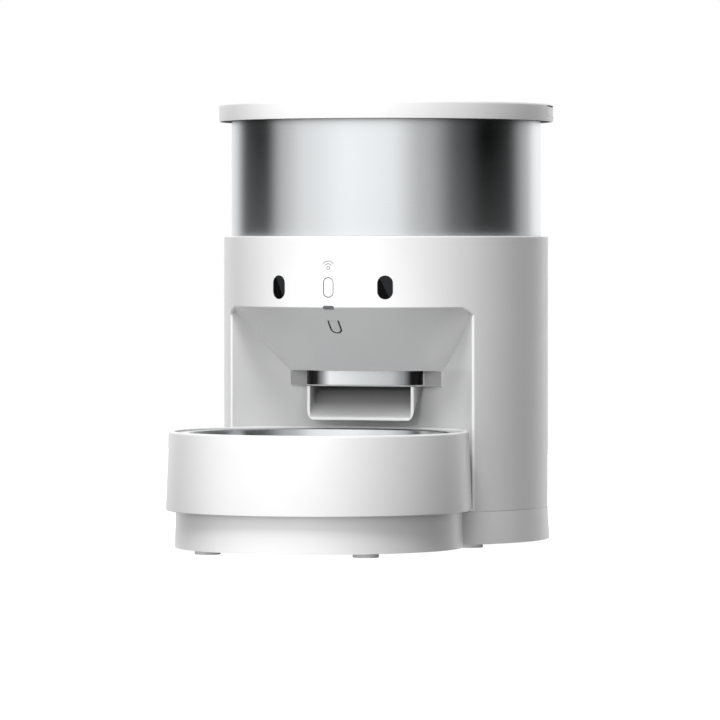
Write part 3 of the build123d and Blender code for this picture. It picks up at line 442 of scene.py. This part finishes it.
def grid_mesh(name, points, wrap_u, wrap_v):
    """Turns an array of points (rows u, columns v) into a mesh of quads, joined end to end if asked."""
    rows, columns = points.shape[:2]
    index = np.arange(rows * columns).reshape(rows, columns)
    u = np.arange(rows if wrap_u else rows - 1)
    v = np.arange(columns if wrap_v else columns - 1)
    a = index[u][:, v]
    b = index[u][:, (v + 1) % columns]
    c = index[(u + 1) % rows][:, (v + 1) % columns]
    d = index[(u + 1) % rows][:, v]
    faces = np.stack([a, b, c, d], axis=-1).reshape(-1, 4)
    mesh = bpy.data.meshes.new(name)
    mesh.from_pydata(points.reshape(-1, 3).tolist(), [], faces.tolist())
    return mesh


def tidy_mesh(mesh, merge_mm=0.001, sharp_deg=35.0):
    """Merges doubles, drops faces with no area, turns all faces outwards and marks sharp edges."""
    work = bmesh.new()
    work.from_mesh(mesh)
    bmesh.ops.remove_doubles(work, verts=work.verts, dist=merge_mm * MM)
    bmesh.ops.dissolve_degenerate(work, edges=work.edges, dist=merge_mm * MM)
    bmesh.ops.recalc_face_normals(work, faces=work.faces)
    for face in work.faces:
        face.smooth = True
    for edge in work.edges:
        edge.smooth = len(edge.link_faces) == 2 and edge.calc_face_angle(0.0) < radians(sharp_deg)
    work.to_mesh(mesh)
    work.free()
    mesh.update()


def place(mesh, name, body, material, *stands_for, slot=None):
    """Puts a finished mesh into the scene as a piece of a body, standing for design nodes."""
    piece = bpy.data.objects.new(name, mesh)
    bpy.context.scene.collection.objects.link(piece)
    mesh.materials.clear()
    mesh.materials.append(material)
    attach(piece, body)
    if stands_for:
        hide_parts(*stands_for)
    return piece


def cap_ends(mesh):
    """Closes each open loop of a swept outline with one face."""
    work = bmesh.new()
    work.from_mesh(mesh)
    bmesh.ops.holes_fill(work, edges=[e for e in work.edges if e.is_boundary], sides=0)
    work.to_mesh(mesh)
    work.free()


def thicken(piece):
    """Gives a sheet its thickness, half to each side."""
    thick = piece.modifiers.new("Thickness", "SOLIDIFY")
    thick.thickness, thick.offset = THIN * MM, 0.0


def turned_points(profile, centre, angles):
    """A (radius, height) outline carried round a vertical axis; angles run from the front to +X."""
    radius = profile[:, 0][:, None]
    x = centre[0] + radius * np.sin(angles)[None, :]
    y = centre[1] - radius * np.cos(angles)[None, :]
    z = np.broadcast_to(profile[:, 1][:, None], x.shape)
    return np.stack([x, y, z], axis=-1)


def turned(name, profile, centre, segments=256):
    """A closed outline turned all the way round a vertical axis."""
    angles = np.linspace(0, 2 * np.pi, segments, endpoint=False)
    mesh = grid_mesh(name, turned_points(profile * MM, centre, angles), True, True)
    tidy_mesh(mesh)
    return mesh


FINISH = {}  # every material by a short name, made by the first operator


def finish_node(names, material):
    """Gives design nodes a material, smooth faces and even corner shading, their shapes untouched."""
    for name in names:
        node = NODES[name]
        node.data.materials.clear()
        node.data.materials.append(material)
        node.data.polygons.foreach_set("use_smooth", [True] * len(node.data.polygons))
        weld = node.modifiers.new("Merge", "WELD")
        weld.merge_threshold = 0.002 * MM
        split = node.modifiers.new("Edges", "EDGE_SPLIT")
        split.split_angle = radians(25)
        even = node.modifiers.new("Shading", "WEIGHTED_NORMAL")
        even.keep_sharp = True
        even.weight = 100


# ------------------------------------------------------------------ settings
class FeederSettings(bpy.types.PropertyGroup):
    """Sizes and colours a user may change."""

    white: bpy.props.StringProperty(
        name="Plastic", description="Colour of the white shells, sRGB hex", default="#e8e8e8",
    )
    lid_round: bpy.props.FloatProperty(
        name="Lid edge", description="Round of the lid's upper edge", default=2.0, min=0.2, unit="NONE",
    )
    crown: bpy.props.FloatProperty(
        name="Lid crown", description="Fall of the lid's top from middle to edge", default=0.8, unit="NONE",
    )
    segments: bpy.props.IntProperty(
        name="Segments", description="Faces round each turned piece", default=288, min=48, max=512,
    )
    barrel_grain: bpy.props.FloatProperty(
        name="Brush lines", description="Height of one brush line on the barrel, millimetres", default=0.5,
    )
    key: bpy.props.FloatProperty(
        name="Softbox", description="Brightness of the softbox at the front left", default=1.0, min=0.0,
    )
    fill: bpy.props.FloatProperty(
        name="Bay light", description="Brightness of the narrow lamp into the bay", default=1.0, min=0.0,
    )
    surround: bpy.props.FloatProperty(
        name="Surround", description="Brightness of the light from all round", default=1.0, min=0.0,
    )
    floor_glow: bpy.props.FloatProperty(
        name="From below", description="Share of the surround that comes from below", default=0.5, min=0.0,
    )


def settings():
    """This scene's settings."""
    return bpy.context.scene.feeder


class FEEDER_OT_finishes(bpy.types.Operator):
    """Makes every material once."""

    bl_idname = "feeder.finishes"
    bl_label = "Finishes"

    def execute(self, context):
        s = settings()
        FINISH["white"] = abs_white(s.white)
        FINISH["steel"] = brushed_stainless("Stainless_brushed", 0.3, s.barrel_grain)
        foot_haze(FINISH["steel"], float(BODY_HIGH[2]), float(BARREL_HIGH[2]) - 0.02, 0.09)
        FINISH["band"] = band_painted_reflections()
        FINISH["chute"] = chute_painted_light()
        # Painted shade: this grey is for the white shoulders under the hood.
        FINISH["grey"] = moulded("Shoulder_painted_shade_grey", "#a2a2a2", "#9a9a9a", 0.4)
        FINISH["bowl"] = brushed_stainless("Stainless_satin_bowl", 0.22, 0.6, along=(1, 1, 60))
        FINISH["liner"] = polypropylene_liner()
        FINISH["dark"] = abs_dark()
        FINISH["acetal"] = acetal_white()
        FINISH["seal"] = rubber("Rubber_black", "#1c1c1d", "#141415")
        FINISH["foot"] = rubber("Rubber_grey_clear", "#efefed", "#e3e3e1")
        FINISH["silicone"] = rubber("Silicone_white", "#d9d9d4", "#cfcfca")
        FINISH["zinc"] = plated("Steel_zinc_plated", "#b9bcc0", 0.3)
        FINISH["can"] = plated("Steel_motor_can", "#9a9da1", 0.38, 6.0)
        FINISH["chrome"] = plated("Chrome_button_ring", "#808285", 0.22)
        FINISH["cell"] = cell_jacket()
        FINISH["board"] = solder_mask()
        FINISH["module"] = moulded("Nylon_black", "#18181a", "#101011", 0.45)
        FINISH["window"] = infrared_window()
        FINISH["lens"] = moulded("Polycarbonate_smoke", "#77787b", "#6c6d70", 0.22)
        FINISH["mark"] = moulded("Polycarbonate_mark", "#98999b", "#8c8d8f", 0.3)
        FINISH["paper"] = nonwoven_paper()
        return {"FINISHED"}


class FEEDER_OT_barrel(bpy.types.Operator):
    """Steel barrel with a rolled hem at its top."""

    bl_idname = "feeder.barrel"
    bl_label = "Barrel"

    def execute(self, context):
        outer = BARREL_R / MM
        foot, top = BARREL_LOW[2] / MM, BARREL_HIGH[2] / MM
        profile = arc_corners([
            (outer - BARREL_SHEET, foot, 0.2), (outer, foot, 0.2), (outer, top, 0.5),
            (outer - HEM_WIDE, top, 0.5), (outer - HEM_WIDE, top - HEM_DEEP, 0.5),
            (outer - BARREL_SHEET, top - HEM_DEEP),
        ])
        mesh = turned("barrel_steel", profile, BODY_AXIS, settings().segments)
        place(mesh, "barrel_steel", "root", FINISH["steel"], "barrel", slot="steel_brushed")
        return {"FINISHED"}


def with_latch_edges(count):
    """Angles round the lid, with two columns at each side of each latch opening."""
    half = np.arcsin((LATCH_HALF + LATCH_GAP) / (LID_R / MM))
    step = 2 * np.pi / count
    edges = [s * LATCH_AZ + e * half for s in (-1, 1) for e in (-1, 1)]
    free = np.linspace(-np.pi, np.pi, count, endpoint=False)
    near = np.min(np.abs(free[:, None] - np.array(edges)[None, :]), axis=1)
    kept = free[near > step * 0.4]
    inside, outside = [], []
    for s in (-1, 1):
        for e in (-1, 1):
            edge = s * LATCH_AZ + e * half
            inside.append(edge - e * 1e-7)
            outside.append(edge + e * 1e-7)
    angles = np.sort(np.concatenate([kept, inside, outside]))
    opening = np.min(np.abs(np.abs(angles)[:, None] - LATCH_AZ), axis=1) < half
    return angles, opening


class FEEDER_OT_lid(bpy.types.Operator):
    """Lid: a crowned top, a rounded edge, and a skirt that stops short over the two latches."""

    bl_idname = "feeder.lid"
    bl_label = "Lid"

    def execute(self, context):
        s = settings()
        edge, top, foot = LID_R / MM, LID_HIGH[2] / MM, LID_LOW[2] / MM
        inner = edge - LID_WALL
        under = top - LID_SHEET
        radii = np.linspace(0.0, edge - s.lid_round - 0.2, 14)
        crown = top - s.crown * (radii / radii[-1]) ** 4
        corner = arc_corners([
            (edge - 6, top - s.crown), (edge, top - s.crown, s.lid_round), (edge, foot, 0.3),
            (edge - SEAL_INSET, foot, 0.2), (edge - SEAL_INSET, foot + SEAL_STEP, 0.1),
            (inner, foot + SEAL_STEP, 0.1), (inner, under, 0.8), (0.0, under),
        ], 8)[1:]
        profile = np.concatenate([np.stack([radii, crown], 1), corner])
        angles, opening = with_latch_edges(s.segments)
        points = turned_points(profile * MM, BODY_AXIS, angles)
        low = np.where(opening, (LATCH_TOP + LATCH_HEADROOM) * MM, -1.0)[None, :]
        low = np.where(profile[:, 0][:, None] > inner - 1e-6, low, -1.0)
        points[..., 2] = np.maximum(points[..., 2], low)
        mesh = grid_mesh("lid_top", points, False, True)
        tidy_mesh(mesh)
        place(mesh, "lid_top", "lid", FINISH["white"], "lid", slot="white_abs")
        return {"FINISHED"}


class FEEDER_OT_latches(bpy.types.Operator):
    """The two latches: flush segments of the lid's skirt with a finger groove along the foot."""

    bl_idname = "feeder.latches"
    bl_label = "Latches"

    def execute(self, context):
        edge, foot = LID_R / MM, LID_LOW[2] / MM
        half = np.arcsin(LATCH_HALF / edge)
        for side, node in ((-1, "latch_left"), (1, "latch_right")):
            outline = arc_corners([
                (edge - LATCH_WALL, foot, 0.5), (edge, foot, 0.8), (edge, foot + 1.6, 0.2),
                (edge - GROOVE_DEEP, foot + 2.1, 0.2), (edge - GROOVE_DEEP, foot + 2.6, 0.2),
                (edge, foot + 3.1, 0.2), (edge, LATCH_TOP, 1.0), (edge - LATCH_WALL, LATCH_TOP, 1.0),
            ], 5)
            centre = outline.mean(axis=0)
            turns = np.concatenate([
                -half + np.array([0.0, 0.05, 0.2, 0.5]) / edge,
                np.linspace(-half + 1.5 / edge, half - 1.5 / edge, 17),
                half - np.array([0.5, 0.2, 0.05, 0.0]) / edge,
            ])
            shrink = np.ones(len(turns))
            shrink[[0, -1]], shrink[[1, -2]], shrink[[2, -3]] = 0.80, 0.90, 0.97
            angles = side * LATCH_AZ + turns
            x_edge = centre[0] + (outline[:, 0] - centre[0])[:, None] * shrink[None, :]
            heights = centre[1] + (outline[:, 1] - centre[1])[:, None] * (0.6 + 0.4 * shrink)[None, :]
            points = np.stack([
                BODY_AXIS[0] + x_edge * MM * np.sin(angles)[None, :],
                BODY_AXIS[1] - x_edge * MM * np.cos(angles)[None, :],
                heights * MM,
            ], axis=-1)
            mesh = grid_mesh(f"{node}_skin", points, True, False)
            cap_ends(mesh)
            tidy_mesh(mesh)
            place(mesh, f"{node}_skin", node, FINISH["white"], node, slot="white_abs")
        return {"FINISHED"}


class FEEDER_OT_ring(bpy.types.Operator):
    """Bowl ring: a flared wall with a soft rim, a ledge for the bowl and an inner standing wall."""

    bl_idname = "feeder.ring"
    bl_label = "Bowl ring"

    def execute(self, context):
        foot, top = RING_LOW[2] / MM, RING_HIGH[2] / MM
        wide = RING_FOOT_R / MM
        narrow = wide - RING_FLARE
        seat = FLANGE_R / MM + SEAT_PLAY
        wall = RING_WALL
        inner = seat - LEDGE_WIDE
        ledge = top - LEDGE_DROP
        profile = arc_corners([
            (wide, foot + 0.3, 0.7), (narrow, top, 1.5), (seat, top, 0.8), (seat, ledge, 0.2),
            (inner, ledge, 0.6), (inner, foot, 0.3), (inner + wall, foot, 0.3),
            (inner + wall, ledge - wall, 0.6), (narrow - wall, ledge - wall, 0.6),
            (wide - wall, foot + 0.3, 0.5),
        ])
        mesh = turned("bowl_ring_shell", profile, BOWL_AXIS, settings().segments)
        place(mesh, "bowl_ring_shell", "ring", FINISH["white"], "bowl_ring", slot="white_abs")
        return {"FINISHED"}


class FEEDER_OT_bowl(bpy.types.Operator):
    """Pressed steel bowl: a flange with a rolled edge, a drawn wall and a gently raised floor."""

    bl_idname = "feeder.bowl"
    bl_label = "Bowl"

    def execute(self, context):
        floor, top = BOWL_LOW[2] / MM, BOWL_HIGH[2] / MM
        rim = FLANGE_R / MM
        mouth = rim - BOWL_FLANGE
        sheet = BOWL_SHEET
        upper = arc_corners([
            (0.0, floor + sheet + FLOOR_RISE), (20.0, floor + sheet + 0.9, 40.0),
            (50.0, floor + sheet, 60.0),
            (mouth - 7.5, floor + sheet, 22.0), (mouth, top, 1.2), (rim, top, 0.35), (rim, top - sheet),
        ], 14)
        lower = arc_corners([
            (rim, top - sheet), (mouth + 0.7, top - sheet, 1.0), (mouth - 6.9, floor, 21.0),
            (50.0, floor, 60.0), (20.0, floor + 0.9, 40.0), (0.0, floor + FLOOR_RISE),
        ], 14)[1:]
        profile = np.concatenate([upper, lower])
        angles = np.linspace(0, 2 * np.pi, settings().segments, endpoint=False)
        mesh = grid_mesh("bowl_steel", turned_points(profile * MM, BOWL_AXIS, angles), False, True)
        tidy_mesh(mesh)
        place(mesh, "bowl_steel", "bowl", FINISH["bowl"], "bowl", slot="steel_brushed")
        return {"FINISHED"}


class FEEDER_OT_body(bpy.types.Operator):
    """Body shell, base, chute and steel band."""

    bl_idname = "feeder.body"
    bl_label = "Body"

    def execute(self, context):
        finish_node(["body_shell", "base"], FINISH["white"])
        finish_node(["chute"], FINISH["chute"])
        finish_node(["spout_band"], FINISH["band"])
        return {"FINISHED"}


def slot_strip(inner, outer, sunk):
    """A U-shaped strip in the hood's slope: straight legs and a half round foot, between two offsets."""
    turn = np.linspace(np.pi, 2 * np.pi, 25)
    rows = []
    for gap in (inner, outer):
        radius = TONGUE_HALF + gap
        across = np.concatenate([[-radius], radius * np.cos(turn), [radius]])
        up = np.concatenate([[TONGUE_TOP], TONGUE_BEND + radius * np.sin(turn), [TONGUE_TOP]])
        middle = BODY_AXIS[1] / MM - (BODY_HIGH[0] / MM - HOOD_DROP)
        slope = np.sqrt(0.5)
        rows.append(np.stack([
            across, middle - slope * up + slope * sunk, TONGUE_Z + slope * up + slope * sunk,
        ], axis=-1))
    return np.array(rows) * MM


class FEEDER_OT_controls(bpy.types.Operator):
    """Button, its ring, the sensor windows, the lens, the sign and the reset tongue."""

    bl_idname = "feeder.controls"
    bl_label = "Front controls"

    def execute(self, context):
        finish_node(["feed_button", "reset_tongue"], FINISH["white"])
        finish_node(["button_ring"], FINISH["chrome"])
        finish_node(["sensor_window_left", "sensor_window_right"], FINISH["window"])
        finish_node(["indicator_lens"], FINISH["lens"])
        finish_node(["wireless_mark"], FINISH["mark"])
        # Painted shade: a black rubber sheet sunk in the slot round the tongue, standing for the slot's
        # dark gap.
        strip = slot_strip(0.06, TONGUE_SLOT - 0.02, SLOT_SHADE_SUNK)
        mesh = grid_mesh("tongue_slot_shade", strip, False, False)
        tidy_mesh(mesh)
        thicken(place(mesh, "tongue_slot_shade", "root", FINISH["seal"], slot="rubber_dark"))
        return {"FINISHED"}


class FEEDER_OT_shoulders(bpy.types.Operator):
    """Two thin grey sheets on the white shoulders beside the steel band, painted shade under the hood."""

    bl_idname = "feeder.shoulders"
    bl_label = "Shoulder painted shade"

    def execute(self, context):
        y_face = BODY_AXIS[1] / MM - SHOULDER_Y
        for side, word in ((-1, "left"), (1, "right")):
            near, far = (side * x for x in SHOULDER_SPAN)
            # Painted shade: a grey sheet over the white shoulder, standing for the shade under the hood.
            outline = arc_corners([
                (near, SHOULDER_FOOT, 0.3), (far, SHOULDER_FOOT, 1.0), (far, SHOULDER_TOP, 0.4),
                (near, SHOULDER_TOP, 0.3),
            ])
            work = bmesh.new()
            loop = [work.verts.new((x * MM, (y_face - THIN / 2) * MM, z * MM)) for x, z in outline]
            work.faces.new(loop)
            mesh = bpy.data.meshes.new(f"shoulder_shade_sheet_{word}")
            work.to_mesh(mesh)
            work.free()
            tidy_mesh(mesh)
            thicken(place(mesh, f"shoulder_shade_sheet_{word}", "root", FINISH["grey"], slot="white_abs"))
        return {"FINISHED"}


INNER_FINISHES = {
    "liner": ("food_bin", "lid_liner", "drier_tray", "drier_cover", "outlet_guard"),
    "dark": ("bottom_cover", "battery_box", "battery_door", "deck", "gearbox_housing", "power_inlet"),
    "seal": ("lid_seal", "barrel_gasket"),
    "silicone": ("paddle_tips",),
    "acetal": ("paddle_hub", "stirrer", "output_gear", "motor_pinion", "wheel_bush"),
    "zinc": (
        "output_shaft", "latch_pins", "cover_screws", "body_screws", "deck_screws", "board_screws",
        "battery_contacts",
    ),
    "can": ("motor",),
    "cell": ("battery_cells",),
    "board": ("main_board", "control_board"),
    "module": ("sensor_modules", "tact_switch"),
    "paper": ("drier_bag",),
    "foot": ("rubber_feet",),
}


class FEEDER_OT_inside(bpy.types.Operator):
    """Finishes of the works inside and the pieces underneath."""

    bl_idname = "feeder.inside"
    bl_label = "Inner works"

    def execute(self, context):
        for finish, names in INNER_FINISHES.items():
            finish_node(names, FINISH[finish])
        return {"FINISHED"}


# ------------------------------------------------------------------ stage
VIEW_AZ = np.radians(20.6)
DISTANCE = 3.670
SIDE_STEP = -0.0177
EYE_HEIGHT = 0.1983
LENS_MM = 270.0
PITCH = np.radians(1.167)
KEY_AZ = np.radians(-18.0)  # softbox, round from the camera's side
KEY_UP = np.radians(60.0)
KEY_WATTS = 100.0
BAY_AZ = np.radians(-12.0)  # narrow lamp into the bay, round from the camera's side
BAY_UP = np.radians(10.0)
BAY_DISTANCE = 3.0
BAY_WATTS = 55.0
BAY_POOL = 0.088  # radius of its pool of light, metres


def sky(tree, s):
    """Soft light from all round, bright in front and behind and dark to both sides."""
    place = add_node(tree, "ShaderNodeTexCoord")
    split = add_node(tree, "ShaderNodeSeparateXYZ", Vector=place.outputs["Generated"])
    back = add_node(tree, "ShaderNodeMath", {"operation": "MULTIPLY"}, _0=split.outputs["Y"], _1=-1.0)
    turn = add_node(
        tree, "ShaderNodeMath", {"operation": "ARCTAN2"}, _0=split.outputs["X"], _1=back.outputs[0],
    )
    share = add_node(
        tree, "ShaderNodeMapRange", Value=turn.outputs[0], **span(-np.pi, np.pi, 0.0, 1.0),
    )
    stops = (
        (-180, 1.1), (-158, 1.15), (-132, 0.95), (-106, 0.06), (-80, 0.03), (-62, 0.75), (-42, 1.15),
        (-8, 1.45), (22, 1.35), (48, 0.68), (76, 0.12), (98, 0.0), (124, 0.02), (148, 0.58), (166, 1.15),
    )
    ramp = add_node(tree, "ShaderNodeValToRGB", Fac=share.outputs["Result"])
    bands = [((turned + 180) / 360, (level, level, level, 1.0)) for turned, level in stops]
    lay_bands(ramp.color_ramp, bands, "EASE")
    upward = add_node(
        tree, "ShaderNodeMapRange", Value=split.outputs["Z"], **span(0.3, 0.9, 1.0, 0.5),
    )
    downward = add_node(
        tree, "ShaderNodeMapRange", Value=split.outputs["Z"], **span(-0.6, -0.1, s.floor_glow, 1.0),
    )
    both = add_node(
        tree, "ShaderNodeMath", {"operation": "MULTIPLY"},
        _0=upward.outputs["Result"], _1=downward.outputs["Result"],
    )
    return add_node(
        tree, "ShaderNodeVectorMath", {"operation": "SCALE"},
        _0=ramp.outputs["Color"], Scale=both.outputs[0],
    ).outputs["Vector"]


def hang(scene, lamp, aim, azimuth, height, distance):
    """Hangs a lamp at two angles from its aim, turned to face it and unseen in reflections."""
    turned = VIEW_AZ + azimuth
    out = np.array([np.sin(turned) * np.cos(height), -np.cos(turned) * np.cos(height), np.sin(height)])
    piece = bpy.data.objects.new(lamp.name, lamp)
    piece.location = aim + out * distance
    piece.rotation_euler = Vector(out).to_track_quat("Z", "Y").to_euler()
    piece.visible_glossy = False
    scene.collection.objects.link(piece)


class FEEDER_OT_stage(bpy.types.Operator):
    """Pale floor, soft light and the camera."""

    bl_idname = "feeder.stage"
    bl_label = "Stage"

    def execute(self, context):
        s = settings()
        scene = context.scene
        world = bpy.data.worlds.new("Studio")
        scene.world = world
        world.use_nodes = True
        tree = world.node_tree
        tree.nodes.clear()
        soft = add_node(tree, "ShaderNodeBackground", Color=sky(tree, s), Strength=s.surround)
        plain = add_node(tree, "ShaderNodeBackground", Color=(1, 1, 1, 1), Strength=1.0)
        path = add_node(tree, "ShaderNodeLightPath")
        mix = add_node(
            tree, "ShaderNodeMixShader", _0=path.outputs["Is Camera Ray"],
            _1=soft.outputs[0], _2=plain.outputs[0],
        )
        add_node(tree, "ShaderNodeOutputWorld", Surface=mix.outputs[0])

        half = 1.6
        corners = [(-half, -half, 0), (half, -half, 0), (half, half, 0), (-half, half, 0)]
        mesh = bpy.data.meshes.new("floor")
        mesh.from_pydata(corners, [], [(0, 1, 2, 3)])
        floor = bpy.data.objects.new("floor", mesh)
        scene.collection.objects.link(floor)
        paint, _, shader = new_material("Floor_pale", "#f4f4f4", 0.8)
        shader.inputs["Emission Color"].default_value = (1, 1, 1, 1)
        shader.inputs["Emission Strength"].default_value = 1.0
        mesh.materials.append(paint)
        floor.visible_diffuse = floor.visible_glossy = False

        softbox = bpy.data.lights.new("softbox", "AREA")
        softbox.shape = "RECTANGLE"
        softbox.size, softbox.size_y = 1.1, 1.4
        softbox.energy = s.key * KEY_WATTS
        hang(scene, softbox, np.array([*BODY_AXIS, 0.15]), KEY_AZ, KEY_UP, 3.2)

        narrow = bpy.data.lights.new("bay_light", "SPOT")
        narrow.spot_size = 2 * np.arctan(BAY_POOL / BAY_DISTANCE)
        narrow.spot_blend = 1.0
        narrow.shadow_soft_size = 0.02
        narrow.energy = s.fill * BAY_WATTS
        hang(scene, narrow, np.array([0.0, BODY_AXIS[1] - 0.05, 0.115]), BAY_AZ, BAY_UP, BAY_DISTANCE)

        across = np.array([np.cos(VIEW_AZ), np.sin(VIEW_AZ)])
        away = np.array([np.sin(VIEW_AZ), -np.cos(VIEW_AZ)])
        spot = BODY_AXIS + SIDE_STEP * across + DISTANCE * away
        camera = bpy.data.objects.new("camera", bpy.data.cameras.new("camera"))
        camera.data.lens = LENS_MM
        camera.data.sensor_width = 36.0
        camera.data.clip_end = 50.0
        camera.location = (*spot, EYE_HEIGHT)
        camera.rotation_euler = (np.pi / 2 - PITCH, 0.0, VIEW_AZ)
        scene.collection.objects.link(camera)
        scene.camera = camera
        scene.view_settings.view_transform = "Standard"
        return {"FINISHED"}


STEPS = (
    "finishes", "body", "barrel", "lid", "latches", "ring", "bowl", "controls", "shoulders", "inside",
    "stage",
)


class FEEDER_PT_panel(bpy.types.Panel):
    """Lists the settings and every step."""

    bl_idname = "FEEDER_PT_panel"
    bl_label = "Pet feeder"
    bl_space_type = "VIEW_3D"
    bl_region_type = "UI"
    bl_category = "Feeder"

    def draw(self, context):
        for key in FeederSettings.__annotations__:
            self.layout.prop(context.scene.feeder, key)
        for step in STEPS:
            self.layout.operator(f"feeder.{step}")


CLASSES = (
    FeederSettings, FEEDER_OT_finishes, FEEDER_OT_body, FEEDER_OT_barrel, FEEDER_OT_lid,
    FEEDER_OT_latches, FEEDER_OT_ring, FEEDER_OT_bowl, FEEDER_OT_controls, FEEDER_OT_shoulders,
    FEEDER_OT_inside, FEEDER_OT_stage, FEEDER_PT_panel,
)


def register():
    """Registers the classes and adds the settings to the scene."""
    for cls in CLASSES:
        bpy.utils.register_class(cls)
    bpy.types.Scene.feeder = bpy.props.PointerProperty(type=FeederSettings)


def unregister():
    """Takes the settings and the classes away again."""
    del bpy.types.Scene.feeder
    for cls in reversed(CLASSES):
        bpy.utils.unregister_class(cls)


def main():
    """Runs every step in order."""
    register()
    for step in STEPS:
        getattr(bpy.ops.feeder, step)()


if __name__ == "__main__":
    main()
